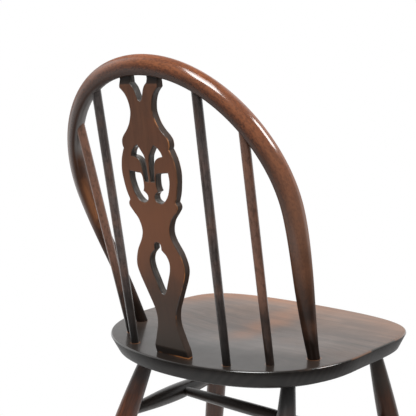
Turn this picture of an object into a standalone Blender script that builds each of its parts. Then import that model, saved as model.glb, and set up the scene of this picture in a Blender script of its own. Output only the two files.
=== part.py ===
"""Bow-back side chair with a pierced thistle splat.

A saddled seat plank carries four splayed turned legs below, tied by an H of stretchers, and a bent bow,
four spindles and a fret-sawn splat above. Every joint is a tenon in a socket, so each piece is a solid of
its own. Metres, +Z up; the chair faces -Y and stands on the floor at the origin. The pieces are set out
from the middle of the line between the bow's feet, at the height of the seat top there.
"""
import math

import bmesh
import bpy
from mathutils import Matrix, Vector

# Heights and fits
SEAT_HEIGHT = 0.420
FIT_GAP = 0.0003

# Seat plank: outline, whose widest line lies in front of the bow's feet, its slope and its edge
SEAT_HALF_WIDTH = 0.2272
SEAT_REAR = 0.1346
SEAT_FRONT = 0.2546
SEAT_WIDEST = 0.0527
SEAT_REAR_SPREAD = 0.1213
SEAT_SIDE_REAR_RUN = 0.1306
SEAT_SIDE_FRONT_RUN = 0.1467
SEAT_FRONT_SPREAD = 0.262
SEAT_THICKNESS = 0.034
SEAT_SLOPE = math.radians(2.4)
SEAT_LEVEL_POINT = 0.055
SEAT_ARRIS = 0.0032
SEAT_EDGE_DEPTH = 0.0273
SEAT_EDGE_TUCK = 0.0123
SEAT_BEVEL_WIDTH = 0.028
SADDLE_DEPTH = 0.008
SADDLE_CENTRE = -0.075
SADDLE_HALF_WIDTH = 0.190
SADDLE_HALF_LENGTH = 0.140
POMMEL_SHARE = 0.45
POMMEL_WIDTH = 0.040

# Bow: outline in its own leaning plane, as wide as the seat less an inset, its section and its feet
BOW_RAKE = math.radians(22.3)
BOW_HEIGHT = 0.4615
BOW_SIDE_INSET = 0.0158
BOW_HALF_WIDTH = SEAT_HALF_WIDTH - BOW_SIDE_INSET
BOW_WIDEST = 0.253
BOW_CROWN_SPREAD = 0.125
BOW_SHOULDER_RUN = 0.104
BOW_WAIST_RUN = 0.062
BOW_FOOT_RUN = 0.085
BOW_FOOT_LEAN = math.radians(4.7)
BOW_FOOT_INSET = 0.0409
BOW_FOOT_RADIUS = 0.0093
BOW_BODY_RADIUS = 0.0137
BOW_DEPTH_RATIO = 0.94
BOW_STRAIGHT = 0.012
BOW_TAPER = 0.235
BOW_ROUND_RUN = 0.116
BOW_INNER_REAR_FULLNESS = 5.0
BOW_OUTER_REAR_FULLNESS = 1.5
BOW_OUTER_FRONT_FULLNESS = 3.1
BOW_INNER_FRONT_FULLNESS = 1.85
WEDGE_LENGTH = 0.018
WEDGE_THICK = 0.0030
WEDGE_THIN = 0.0010
WEDGE_SIDE_MARGIN = 0.0012

# Spindles: inner and outer pair, set in from the seat's rear edge, the outer ones also from its sides
INNER_SPINDLE_FOOT = 0.0954
INNER_SPINDLE_INSET = 0.0236
INNER_SPINDLE_TOP = 0.1003
OUTER_SPINDLE_SIDE_INSET = 0.0825
OUTER_SPINDLE_FOOT = SEAT_HALF_WIDTH - OUTER_SPINDLE_SIDE_INSET
OUTER_SPINDLE_INSET = 0.0405
OUTER_SPINDLE_BOW_INSET = 0.0464
OUTER_SPINDLE_TOP = BOW_HALF_WIDTH - OUTER_SPINDLE_BOW_INSET
SPINDLE_FOOT_RADIUS = 0.0061
SPINDLE_RADIUS = 0.0071
SPINDLE_FULL_AT = 0.7
SPINDLE_SEAT_DEPTH = 0.020
SPINDLE_BOW_REACH = 0.002

# Splat: thickness, tenons and bevels; its outline is drawn on squares of SPLAT_GRID, for the height
# SPLAT_DRAWN from its sill on the seat to the bow
SPLAT_THICKNESS = 0.0127
SPLAT_INSET = 0.0262
SPLAT_SETBACK = 0.0020
SPLAT_GRID = 0.001
SPLAT_DRAWN = 0.4222
SPLAT_SILL = 0.0028
SPLAT_SEAT_DEPTH = 0.018
SPLAT_BOW_DEPTH = 0.010
SPLAT_END_BEVEL = 0.0030
SPLAT_FOOT_BEVEL_RUN = 0.0130
SPLAT_HORN_BEVEL_RUN = 0.0080
SPLAT_BEVEL_STAND = 0.0030
SPLAT_FOOT_HALF_WIDTH = 0.0336
SPLAT_FOOT_EASE = 0.0008
SPLAT_FOOT_EASE_RUN = 0.0100
HORN_OUTER = 0.0385
HORN_INNER = 0.0158
HORN_SHOULDER = 0.4040
HORN_THROAT = 0.4110

# Legs: sockets under the seat, splay to the floor and turned profile
REAR_LEG_SIDE_INSET = 0.0732
REAR_LEG_BACK = 0.0135
REAR_FOOT_OUT = 0.074
REAR_FOOT_BACK = 0.140
FRONT_LEG_SIDE_INSET = 0.0582
FRONT_LEG_INSET = 0.0666
FRONT_FOOT_OUT = 0.076
FRONT_FOOT_FORWARD = 0.044
LEG_TENON_DEPTH = 0.021
LEG_TENON_RADIUS = 0.0110
LEG_NECK = 0.012
LEG_SWELL_RADIUS = 0.0177
LEG_SWELL_AT = 0.150
LEG_FOOT_RADIUS = 0.0122

# H stretcher
STRETCHER_HEIGHT = 0.277
STRETCHER_REACH = 0.004
STRETCHER_SLIMNESS = 1.25
SIDE_END_RADIUS = 0.0080
SIDE_SWELL_RADIUS = 0.0149
CROSS_END_RADIUS = 0.0078
CROSS_SWELL_RADIUS = 0.0106
CROSS_SHARE = 0.574
CROSS_REACH = 0.003

# Facets
TURNED_SIDES = 20
SPINDLE_SIDES = 16
BOW_SECTION_STEPS = 20
BOW_RUN_STEPS = 15
SEAT_QUARTER_STEPS = 18
SEAT_TOP_RINGS = (0.12, 0.27, 0.42, 0.56, 0.69, 0.81, 0.91, 1.0)
SEAT_ARRIS_STEPS = 3
OUTLINE_STEPS = 3

# Finish: stained and lacquered hardwood, darker on the turned pieces
SEAT_COLOUR = (0.075, 0.047, 0.032)
BOW_COLOUR = (0.140, 0.055, 0.026)
SPLAT_COLOUR = (0.105, 0.048, 0.027)
SPINDLE_COLOUR = (0.050, 0.030, 0.023)
LEG_COLOUR = (0.060, 0.029, 0.019)
WEDGE_COLOUR = (0.160, 0.085, 0.040)
LACQUER_ROUGHNESS = 0.28


def clear_scene():
    """Remove every object, so that the scene holds the chair alone."""
    for item in list(bpy.data.objects):
        bpy.data.objects.remove(item, do_unlink=True)


def wood(name, colour):
    """A lacquered wood of the given stain."""
    material = bpy.data.materials.new(name)
    material.use_nodes = True
    shader = material.node_tree.nodes["Principled BSDF"]
    shader.inputs["Base Color"].default_value = (*colour, 1.0)
    shader.inputs["Roughness"].default_value = LACQUER_ROUGHNESS
    shader.inputs["Metallic"].default_value = 0.0
    return material


def bezier(start, first, second, end, steps):
    """Points along a cubic curve, from its start up to, and without, its end."""
    points = []
    for i in range(steps):
        t = i / steps
        a, b, c, d = (1 - t) ** 3, 3 * t * (1 - t) ** 2, 3 * t * t * (1 - t), t ** 3
        points.append(a * start + b * first + c * second + d * end)
    return points


def smooth_run(keys, steps):
    """A smooth line through the key points, corners only at its two ends."""
    knots = [Vector(key) for key in keys]
    points = []
    for i in range(len(knots) - 1):
        here, there = knots[i], knots[i + 1]
        before = knots[i - 1] if i else here
        after = knots[i + 2] if i + 2 < len(knots) else there
        points += bezier(here, here + (there - before) / 6, there - (after - here) / 6, there, steps)
    points.append(knots[-1])
    return points


def mirrored(points):
    """The same outline points on the other side of the middle plane, in reverse order."""
    return [Vector((-p.x, p.y)) for p in reversed(points)]


def make_object(name, bm, place, colour, smooth_angle=math.radians(40)):
    """Turn a finished mesh into a named piece, placed on the chair."""
    bmesh.ops.recalc_face_normals(bm, faces=bm.faces)
    mesh = bpy.data.meshes.new(name)
    bm.to_mesh(mesh)
    bm.free()
    mesh.shade_smooth()
    mesh.set_sharp_from_angle(angle=smooth_angle)
    mesh.materials.append(wood(name + "_finish", colour))
    piece = bpy.data.objects.new(name, mesh)
    piece.matrix_world = place
    bpy.context.scene.collection.objects.link(piece)
    return piece


def cut(piece, cutter):
    """Sink a cutter's shape out of a piece and keep the cutter as a hidden guide."""
    cutter.hide_render = True
    cutter.display_type = "WIRE"
    boolean = piece.modifiers.new(cutter.name, "BOOLEAN")
    boolean.operation = "DIFFERENCE"
    boolean.solver = "EXACT"
    boolean.object = cutter


def add_rings(bm, rings, closed_ends=True):
    """Skin a stack of rings with quads and close both ends."""
    loops = [[bm.verts.new(p) for p in ring] for ring in rings]
    for low, high in zip(loops, loops[1:]):
        count = len(low)
        for i in range(count):
            j = (i + 1) % count
            bm.faces.new((low[i], low[j], high[j], high[i]))
    if closed_ends:
        bm.faces.new(list(reversed(loops[0])))
        bm.faces.new(loops[-1])
    return loops


def box(name, low, high, place, colour=WEDGE_COLOUR):
    """A plain block between two corners of its own frame."""
    bm = bmesh.new()
    size = Vector(high) - Vector(low)
    middle = (Vector(high) + Vector(low)) / 2
    shape = Matrix.Translation(middle) @ Matrix.Diagonal((*size, 1.0))
    bmesh.ops.create_cube(bm, size=1.0, matrix=shape)
    return make_object(name, bm, place, colour)


def axis_frame(start, end):
    """The frame at start whose Z runs to end."""
    return Matrix.Translation(start) @ (end - start).to_track_quat("Z", "Y").to_matrix().to_4x4()


def turned(name, start, end, radius, colour, rings=14, sides=TURNED_SIDES, grow=0.0, floor=None):
    """A piece turned on a lathe from start to end.

    radius gives the radius at a distance from start. grow makes the socket's cutter: a piece larger by
    that much all round. floor, a height, cuts the end level so that it stands flat.
    """
    place = axis_frame(start, end)
    length = (end - start).length
    up = place.to_3x3().transposed() @ Vector((0, 0, 1))
    bm = bmesh.new()
    stack = []
    for i in range(rings):
        along = length * i / (rings - 1)
        r = radius(along) + grow
        z = along
        if i == 0:
            z -= grow
        if i == rings - 1:
            z += grow
        ring = []
        for k in range(sides):
            angle = 2 * math.pi * k / sides
            p = Vector((r * math.cos(angle), r * math.sin(angle), z))
            if floor is not None and i == rings - 1:
                p.z += (floor - start.z - up.dot(p)) / up.z
            ring.append(p)
        stack.append(ring)
    add_rings(bm, stack)
    return make_object(name, bm, place, colour)


# Seat outline and surface

def seat_outline():
    """The plank's outline as a closed loop in its own plane, from the rear middle round by +X."""
    rear, front = Vector((0, SEAT_REAR)), Vector((0, -SEAT_FRONT))
    side = Vector((SEAT_HALF_WIDTH, -SEAT_WIDEST))
    half = bezier(rear, rear + Vector((SEAT_REAR_SPREAD, 0)), side + Vector((0, SEAT_SIDE_REAR_RUN)), side,
                  SEAT_QUARTER_STEPS)
    half += bezier(side, side - Vector((0, SEAT_SIDE_FRONT_RUN)), front + Vector((SEAT_FRONT_SPREAD, 0)),
                   front, SEAT_QUARTER_STEPS)
    half.append(front)
    return half + mirrored(half[1:-1])


def edge_at(value, axis, rear):
    """The outline's other coordinate where one of them has the given value, on the +X side."""
    count = 2 * SEAT_QUARTER_STEPS
    half = seat_outline()[:count + 1]
    half = half[:SEAT_QUARTER_STEPS + 1] if rear else half
    other = 1 - axis
    for here, there in zip(half, half[1:]):
        low, high = sorted((here[axis], there[axis]))
        if low <= value <= high and low < high:
            share = (value - here[axis]) / (there[axis] - here[axis])
            return here[other] + share * (there[other] - here[other])
    raise ValueError("no seat edge at %.4f" % value)


def rear_edge(x):
    """How far behind the bow's feet the plank's rear edge lies at x."""
    return edge_at(x, 0, rear=True)


def side_edge(y):
    """The plank's half width at y."""
    return edge_at(y, 1, rear=False)


def inset_loop(loop, distance):
    """The outline drawn in by a distance along its normals."""
    count = len(loop)
    points = []
    for i in range(count):
        along = (loop[(i + 1) % count] - loop[i - 1]).normalized()
        points.append(loop[i] + distance * Vector((along.y, -along.x)))
    return points


def saddle(x, y):
    """Height of the hollowed top: a shallow saddle with a low pommel at the front."""
    reach = (x / SADDLE_HALF_WIDTH) ** 2 + ((y - SADDLE_CENTRE) / SADDLE_HALF_LENGTH) ** 2
    if reach >= 1:
        return 0.0
    forward = max(0.0, (SADDLE_CENTRE - y) / SADDLE_HALF_LENGTH)
    pommel = POMMEL_SHARE * math.sin(forward * math.pi / 2) * math.exp(-(x / POMMEL_WIDTH) ** 2)
    return -SADDLE_DEPTH * (1 - reach) ** 2 * (1 - pommel)


def seat_place():
    """The plank's frame, sloping down to the rear about its level point."""
    return Matrix.Translation((0, SEAT_LEVEL_POINT, 0)) @ Matrix.Rotation(-SEAT_SLOPE, 4, "X")


def on_seat(x, y, depth=0.0):
    """The chair point at x, y of the plank's outline, a depth below its top plane."""
    return seat_place() @ Vector((x, y - SEAT_LEVEL_POINT, -depth))


def seat():
    """The plank: saddled top, crisp upper arris, undercut side and bevelled underside."""
    loop = seat_outline()
    middle = Vector((0, SADDLE_CENTRE))
    top = inset_loop(loop, SEAT_ARRIS)
    rings = []
    for share in SEAT_TOP_RINGS:
        ring = [middle + share * (p - middle) for p in top]
        rings.append([(p.x, p.y - SEAT_LEVEL_POINT, saddle(p.x, p.y)) for p in ring])
    edge = []
    for step in range(1, SEAT_ARRIS_STEPS + 1):
        angle = step * math.pi / 2 / SEAT_ARRIS_STEPS
        edge.append((SEAT_ARRIS * (1 - math.sin(angle)), SEAT_ARRIS * (1 - math.cos(angle))))
    edge.append((SEAT_EDGE_TUCK, SEAT_EDGE_DEPTH))
    edge.append((SEAT_BEVEL_WIDTH, SEAT_THICKNESS))
    for inset, depth in edge:
        rings.append([(p.x, p.y - SEAT_LEVEL_POINT, -depth) for p in inset_loop(loop, inset)])
    bm = bmesh.new()
    loops = add_rings(bm, rings, closed_ends=False)
    crown = bm.verts.new((0, SADDLE_CENTRE - SEAT_LEVEL_POINT, saddle(0, SADDLE_CENTRE)))
    count = len(loop)
    for i in range(count):
        bm.faces.new((loops[0][i], crown, loops[0][(i + 1) % count]))
    bm.faces.new(loops[-1])
    return make_object("seat", bm, seat_place(), SEAT_COLOUR)


# Bow

def bow_place():
    """The bow's leaning plane: X across, Y to the rear, Z up the plane."""
    return Matrix.Translation(on_seat(0, 0)) @ Matrix.Rotation(-BOW_RAKE, 4, "X")


def bow_foot():
    """The bow's half spacing at the seat, set in from the plank's side."""
    return side_edge(0.0) - BOW_FOOT_INSET


def bow_half(steps):
    """The bow's centre line from its +X foot to its crown, in the bow's plane."""
    foot = Vector((bow_foot(), 0))
    lean = Vector((math.sin(BOW_FOOT_LEAN), math.cos(BOW_FOOT_LEAN)))
    widest, crown = Vector((BOW_HALF_WIDTH, BOW_WIDEST)), Vector((0, BOW_HEIGHT))
    line = bezier(foot, foot + BOW_FOOT_RUN * lean, widest - Vector((0, BOW_WAIST_RUN)), widest, steps)
    line += bezier(widest, widest + Vector((0, BOW_SHOULDER_RUN)), crown + Vector((BOW_CROWN_SPREAD, 0)),
                   crown, steps)
    return line + [crown]


def bow_point(x):
    """The centre-line point of the bow's upper half at x, on the chair."""
    fine = 8 * BOW_RUN_STEPS
    line = bow_half(fine)[fine:]
    for here, there in zip(line, line[1:]):
        if there.x <= abs(x) <= here.x:
            share = (here.x - abs(x)) / (here.x - there.x)
            height = here.y + share * (there.y - here.y)
            return bow_place() @ Vector((x, 0, height))
    raise ValueError("no bow above %.4f" % x)


def bow_radius(along):
    """Half the bow's width at a distance up from the seat: slim feet, then an even body."""
    share = min(1.0, max(0.0, (along - BOW_STRAIGHT) / BOW_TAPER))
    return BOW_FOOT_RADIUS + (BOW_BODY_RADIUS - BOW_FOOT_RADIUS) * (1 - (1 - share) ** 2)


def bow_section(along):
    """The bow's section as (outward, rearward) points: round at the feet, then flat inside, soft outside."""
    blend = min(1.0, max(0.0, (along - BOW_STRAIGHT) / BOW_ROUND_RUN))
    r = bow_radius(along)
    points = []
    for k in range(BOW_SECTION_STEPS):
        angle = 2 * math.pi * (k + 0.5) / BOW_SECTION_STEPS
        c, s = math.cos(angle), math.sin(angle)
        if s >= 0:
            fullness = BOW_OUTER_REAR_FULLNESS if c >= 0 else BOW_INNER_REAR_FULLNESS
        else:
            fullness = BOW_OUTER_FRONT_FULLNESS if c >= 0 else BOW_INNER_FRONT_FULLNESS
        full_c = math.copysign(abs(c) ** (2 / fullness), c)
        full_s = math.copysign(abs(s) ** (2 / fullness), s) * BOW_DEPTH_RATIO
        points.append((r * (c + blend * (full_c - c)), r * (s + blend * (full_s - s))))
    return points


def underside_in(place):
    """A point and the normal of the plank's underside, in a piece's own frame."""
    point = place.inverted() @ on_seat(0, 0, SEAT_THICKNESS)
    normal = place.to_3x3().transposed() @ (seat_place().to_3x3() @ Vector((0, 0, 1)))
    return point, normal


def slide_to_underside(p, axis, place):
    """Move a point along an axis of its frame until it lies on the plank's underside."""
    point, normal = underside_in(place)
    return p + axis * (normal.dot(point - p) / normal.dot(axis))


def bow():
    """The bent bow, from one tenon end round the crown to the other."""
    place = bow_place()
    half = bow_half(BOW_RUN_STEPS)
    lengths = [0.0]
    for here, there in zip(half, half[1:]):
        lengths.append(lengths[-1] + (there - here).length)
    lean = Vector((math.sin(BOW_FOOT_LEAN), 0, math.cos(BOW_FOOT_LEAN)))
    right = []
    for i, p in enumerate(half):
        before, after = half[max(i - 1, 0)], half[min(i + 1, len(half) - 1)]
        along = (after - before).normalized()
        if i == 0:
            along = Vector((lean.x, lean.z))
        if i == len(half) - 1:
            along = Vector((-1, 0))
        out = Vector((along.y, 0, -along.x))
        ring = [Vector((p.x, 0, p.y)) + a * out + Vector((0, b, 0)) for a, b in bow_section(lengths[i])]
        right.append(ring)
    tenon = [slide_to_underside(p, lean, place) for p in right[0]]
    right.insert(0, tenon)
    left = [[Vector((-p.x, p.y, p.z)) for p in ring] for ring in reversed(right[:-1])]
    bm = bmesh.new()
    add_rings(bm, right + left)
    return make_object("bow", bm, place, BOW_COLOUR)


def tenon_end(side):
    """The point where a bow tenon's axis meets the underside, and that axis, in the bow's frame."""
    axis = Vector((side * math.sin(BOW_FOOT_LEAN), 0, math.cos(BOW_FOOT_LEAN)))
    foot = Vector((side * bow_foot(), 0, 0))
    return slide_to_underside(foot, axis, bow_place()), axis


def bow_hole(name, side):
    """The cutter for a bow foot's hole right through the plank."""
    end, axis = tenon_end(side)
    place = bow_place()
    low = place @ (end - SEAT_THICKNESS / 2 * axis)
    high = place @ (Vector((side * bow_foot(), 0, 0)) + SEAT_THICKNESS / 2 * axis)
    return turned(name, low, high, lambda along: BOW_FOOT_RADIUS + FIT_GAP, BOW_COLOUR, rings=2)


def bow_wedge(name, side, grow=0.0):
    """The wedge driven into a bow tenon from below, across the seat's grain; grow makes its kerf."""
    end, axis = tenon_end(side)
    place = bow_place()
    across = Vector((axis.z, 0, -axis.x))
    reach = BOW_FOOT_RADIUS + (WEDGE_SIDE_MARGIN if grow else -WEDGE_SIDE_MARGIN)
    taper = (WEDGE_THICK - WEDGE_THIN) / WEDGE_LENGTH
    corners = ((-1, -1), (1, -1), (1, 1), (-1, 1))
    low, high = [], []
    for u, v in corners:
        edge = end + Vector((0, v * reach, 0))
        butt = edge - SEAT_THICKNESS * axis if grow else slide_to_underside(edge, axis, place)
        tip = edge + (WEDGE_LENGTH + grow) * axis
        for ring, p in ((low, butt), (high, tip)):
            half = (WEDGE_THICK - taper * axis.dot(p - end)) / 2 + grow
            ring.append(p + u * half * across)
    if not grow:
        low = [slide_to_underside(p, axis, place) for p in low]
    rings = [low, high]
    bm = bmesh.new()
    add_rings(bm, rings)
    return make_object(name, bm, place, WEDGE_COLOUR)


# Spindles

def spindle_ends(foot_x, inset, top_x, side):
    """A spindle's two tenon ends, in the seat and in the bow."""
    foot = on_seat(side * foot_x, rear_edge(foot_x) - inset)
    top = bow_point(side * top_x)
    axis = (top - foot).normalized()
    return foot - SPINDLE_SEAT_DEPTH * axis, top + SPINDLE_BOW_REACH * axis


def spindle(name, foot_x, inset, top_x, side, grow=0.0):
    """A spindle, slim at the seat and swelling slowly towards the bow."""
    low, high = spindle_ends(foot_x, inset, top_x, side)
    length = (high - low).length

    def radius(along):
        share = math.sin(min(1.0, along / (SPINDLE_FULL_AT * length)) * math.pi / 2)
        return SPINDLE_FOOT_RADIUS + (SPINDLE_RADIUS - SPINDLE_FOOT_RADIUS) * share

    return turned(name, low, high, radius, SPINDLE_COLOUR, rings=9, sides=SPINDLE_SIDES, grow=grow)


# Splat

def splat_ends():
    """The splat's foot on the seat top and the bow's inner face above it."""
    foot = on_seat(0, rear_edge(0.0) - SPLAT_INSET)
    inner_face = bow_place() @ Vector((0, SPLAT_SETBACK, BOW_HEIGHT - BOW_BODY_RADIUS))
    return foot, inner_face


def splat_place():
    """The splat's frame: X across, Y to the rear, Z up from the seat to the crown."""
    foot, crown = splat_ends()
    lean = math.atan2(crown.y - foot.y, crown.z - foot.z)
    return Matrix.Translation(foot) @ Matrix.Rotation(-lean, 4, "X")


def splat_height():
    """The splat's standing height between the seat and the bow."""
    foot, crown = splat_ends()
    return (crown - foot).length


def stretched(points):
    """Drawn splat points set to the height that this chair leaves between seat and bow."""
    stretch = (splat_height() - SPLAT_SILL) / SPLAT_DRAWN
    return [Vector((p.x, SPLAT_SILL + p.y * stretch)) for p in points]


def on_grid(*squares):
    """Points of the splat's drawing, given in grid squares across and up."""
    return [(SPLAT_GRID * across, SPLAT_GRID * up) for across, up in squares]


def splat_outline():
    """The sawn outline as a closed loop of (across, up), drawn for the height SPLAT_DRAWN."""
    # Foot flare, neck, belly, lower waist, then the round nose of the lower nib
    foot = [(SPLAT_FOOT_HALF_WIDTH, 0.0), (SPLAT_FOOT_HALF_WIDTH - SPLAT_FOOT_EASE, SPLAT_FOOT_EASE_RUN)]
    lower = smooth_run(foot + on_grid((26.6, 28.0), (20.3, 50.0), (21.9, 70.0), (33.6, 97.0), (45.1, 122.5),
                                      (49.1, 140.0), (43.6, 160.5), (32.0, 180.0), (28.4, 194.0),
                                      (33.0, 209.5), (42.8, 221.5), (48.6, 229.0), (49.0, 234.5),
                                      (46.4, 238.5)), OUTLINE_STEPS)
    # Oval body round the fretwork
    body = smooth_run(on_grid((46.2, 239.0), (51.7, 254.0), (55.3, 274.0), (55.5, 286.0), (52.9, 300.0),
                              (48.1, 312.0), (45.8, 316.0)), OUTLINE_STEPS)
    # Upper nib, upper waist and the flare to the horn
    waist = on_grid((46.0, 316.5), (47.5, 321.0), (46.9, 328.5), (42.8, 335.0), (34.6, 343.5), (27.6, 353.5),
                    (22.8, 367.0), (22.6, 376.0), (24.8, 386.0), (29.8, 395.5))
    upper = smooth_run(waist + [(HORN_OUTER, HORN_SHOULDER)], OUTLINE_STEPS)
    # Notch between the horns
    throat = on_grid((9.4, 403.0), (4.1, 389.0), (0.0, 385.0))
    notch = smooth_run([(HORN_INNER, HORN_THROAT)] + throat, OUTLINE_STEPS)
    half = [Vector((SPLAT_FOOT_HALF_WIDTH, -SPLAT_SEAT_DEPTH))] + stretched(lower + body + upper)
    top = splat_height() + SPLAT_BOW_DEPTH
    half += [Vector((HORN_OUTER, top)), Vector((HORN_INNER, top))]
    half += stretched(notch)
    return half + mirrored(half[:-1])


def splat_openings():
    """The fretted openings as closed loops: above and below the side petals, and the lower lancet."""
    # Upper opening: the tongue's side, the petal's curl and the shoulder
    petal = smooth_run(on_grid((16.5, 320.8), (9.5, 311.5), (5.0, 303.5), (3.1, 290.0), (2.5, 268.0)),
                       OUTLINE_STEPS)
    curl = smooth_run(on_grid((9.8, 268.0), (11.0, 280.0), (12.4, 290.5), (15.5, 299.0), (22.0, 303.5),
                              (30.8, 305.5)), OUTLINE_STEPS)
    shoulder = smooth_run(on_grid((30.8, 305.5), (28.4, 311.5), (22.2, 318.0), (16.5, 320.8)), OUTLINE_STEPS)
    # Lower opening: the outer rib down to the stem, then the base and the petal's underside
    rib = smooth_run(on_grid((38.4, 281.8), (38.9, 268.0), (33.6, 250.5), (24.8, 239.5), (16.5, 236.4),
                             (8.8, 239.8), (7.4, 245.5), (10.5, 250.0), (15.5, 253.3)), OUTLINE_STEPS)
    base = smooth_run(on_grid((15.5, 253.3), (13.3, 261.0), (13.7, 273.0), (16.5, 279.2), (24.5, 280.3),
                              (31.0, 281.3), (38.4, 281.8)), OUTLINE_STEPS)
    # Lancet: its small head, then the leaf down to the tip
    head = smooth_run(on_grid((0.0, 176.0), (4.5, 174.7), (6.2, 171.0), (6.4, 165.0)), OUTLINE_STEPS)
    leaf = smooth_run(on_grid((6.4, 165.0), (9.8, 161.8), (15.3, 156.5), (19.3, 146.5), (18.1, 134.0),
                              (11.9, 117.5), (5.0, 100.5), (0.0, 96.0)), OUTLINE_STEPS)
    above = petal + curl + shoulder[1:-1]
    below = rib + base[1:-1]
    lancet = head + leaf[1:]
    loops = [above, mirrored(above), below, mirrored(below), lancet + mirrored(lancet[1:-1])]
    return [stretched(loop) for loop in loops]


def splat_bevels():
    """Heights where the rear bevels start and end: the foot's, then the horns'."""
    crown_drop = BOW_HEIGHT - (bow_place().inverted() @ bow_point(HORN_OUTER)).z
    foot_end = SPLAT_BEVEL_STAND / 2
    horn_end = splat_height() - crown_drop - SPLAT_BEVEL_STAND
    return foot_end + SPLAT_FOOT_BEVEL_RUN, foot_end, horn_end - SPLAT_HORN_BEVEL_RUN, horn_end


def rear_cut(height):
    """How far the rear face is bevelled away at a height: towards both tenons."""
    foot_start, foot_end, horn_start, horn_end = splat_bevels()
    foot = (foot_start - height) / (foot_start - foot_end)
    horn = (height - horn_start) / (horn_end - horn_start)
    return SPLAT_END_BEVEL * min(1.0, max(0.0, foot, horn))


def splat():
    """The fret-sawn splat: a flat board, pierced, with its rear bevelled at both ends."""
    bm = bmesh.new()
    edges = []
    for loop in [splat_outline()] + splat_openings():
        ring = [bm.verts.new((p.x, 0, p.y)) for p in loop]
        edges += [bm.edges.new((a, b)) for a, b in zip(ring, ring[1:] + ring[:1])]
    bmesh.ops.triangle_fill(bm, edges=edges, use_beauty=True, normal=(0, 1, 0))
    for height in splat_bevels():
        bmesh.ops.bisect_plane(bm, geom=bm.verts[:] + bm.edges[:] + bm.faces[:], plane_co=(0, 0, height),
                               plane_no=(0, 0, 1))
    raised = bmesh.ops.extrude_face_region(bm, geom=bm.faces[:])["geom"]
    rear = {item for item in raised if isinstance(item, bmesh.types.BMVert)}
    for vert in bm.verts:
        half = SPLAT_THICKNESS / 2
        vert.co.y = half - rear_cut(vert.co.z) if vert in rear else -half
    return make_object("splat", bm, splat_place(), SPLAT_COLOUR, math.radians(30))


def splat_slot(name, low_x, high_x, low_z, high_z):
    """The cutter for a mortise that takes one of the splat's bevelled ends."""
    half = SPLAT_THICKNESS / 2
    low = (low_x - FIT_GAP, -half - FIT_GAP, low_z - FIT_GAP)
    high = (high_x + FIT_GAP, half - SPLAT_END_BEVEL + FIT_GAP, high_z + FIT_GAP)
    return box(name, low, high, splat_place())


# Legs and stretchers

def leg_ends(front, side):
    """A leg's axis: its point on the plank's underside and its middle on the floor."""
    if front:
        y = -(SEAT_FRONT - FRONT_LEG_INSET)
        x = side_edge(y) - FRONT_LEG_SIDE_INSET
        out, back = FRONT_FOOT_OUT, -FRONT_FOOT_FORWARD
    else:
        y = REAR_LEG_BACK
        x = side_edge(y) - REAR_LEG_SIDE_INSET
        out, back = REAR_FOOT_OUT, REAR_FOOT_BACK
    top = on_seat(x, y, SEAT_THICKNESS)
    foot = Vector((top.x + out, top.y + back, -SEAT_HEIGHT))
    return Vector((side * top.x, top.y, top.z)), Vector((side * foot.x, foot.y, foot.z))


def leg_radius(along, length):
    """A leg's radius at a distance below the plank: tenon and neck, swell at the stretcher, slim foot."""
    if along <= LEG_NECK:
        return LEG_TENON_RADIUS
    if along <= LEG_SWELL_AT:
        share = math.sin((along - LEG_NECK) / (LEG_SWELL_AT - LEG_NECK) * math.pi / 2)
        return LEG_TENON_RADIUS + (LEG_SWELL_RADIUS - LEG_TENON_RADIUS) * share
    share = math.cos((along - LEG_SWELL_AT) / (length - LEG_SWELL_AT) * math.pi / 2)
    return LEG_FOOT_RADIUS + (LEG_SWELL_RADIUS - LEG_FOOT_RADIUS) * share


def leg(name, front, side, grow=0.0):
    """A turned leg from its blind socket in the plank to the floor, its foot cut level."""
    top, foot = leg_ends(front, side)
    axis = (foot - top).normalized()
    length = (foot - top).length
    start = top - LEG_TENON_DEPTH * axis

    def radius(along):
        return leg_radius(along - LEG_TENON_DEPTH, length)

    floor = None if grow else -SEAT_HEIGHT
    return turned(name, start, foot, radius, LEG_COLOUR, rings=18, grow=grow, floor=floor)


def leg_at(front, side, height):
    """The point of a leg's axis at a height above the floor."""
    top, foot = leg_ends(front, side)
    share = height / (top.z - foot.z)
    return foot + share * (top - foot)


def swelling(low, high, end_radius, swell_radius):
    """The radius along a stretcher: slim ends and an even swell to the middle."""
    length = (high - low).length

    def radius(along):
        share = max(0.0, math.sin(along / length * math.pi))
        return end_radius + (swell_radius - end_radius) * share ** STRETCHER_SLIMNESS

    return radius


def stretcher(name, start, end, reach, end_radius, swell_radius, grow=0.0):
    """A turned stretcher whose tenons pass the axes of the pieces that it joins by reach."""
    axis = (end - start).normalized()
    low, high = start - reach * axis, end + reach * axis
    radius = swelling(low, high, end_radius, swell_radius)
    return turned(name, low, high, radius, LEG_COLOUR, grow=grow)


def side_stretcher(name, side, grow=0.0):
    """The stretcher between the rear and front leg of one side."""
    rear, front = leg_at(False, side, STRETCHER_HEIGHT), leg_at(True, side, STRETCHER_HEIGHT)
    return stretcher(name, rear, front, STRETCHER_REACH, SIDE_END_RADIUS, SIDE_SWELL_RADIUS, grow)


def cross_stretcher(name, grow=0.0):
    """The stretcher across the chair, between the two side stretchers."""
    ends = []
    for side in (1, -1):
        rear, front = leg_at(False, side, STRETCHER_HEIGHT), leg_at(True, side, STRETCHER_HEIGHT)
        ends.append(rear + CROSS_SHARE * (front - rear))
    return stretcher(name, ends[0], ends[1], CROSS_REACH, CROSS_END_RADIUS, CROSS_SWELL_RADIUS, grow)


# Assembly

SIDES = (("left", 1), ("right", -1))
SPINDLES = (("inner", INNER_SPINDLE_FOOT, INNER_SPINDLE_INSET, INNER_SPINDLE_TOP),
            ("outer", OUTER_SPINDLE_FOOT, OUTER_SPINDLE_INSET, OUTER_SPINDLE_TOP))


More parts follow.
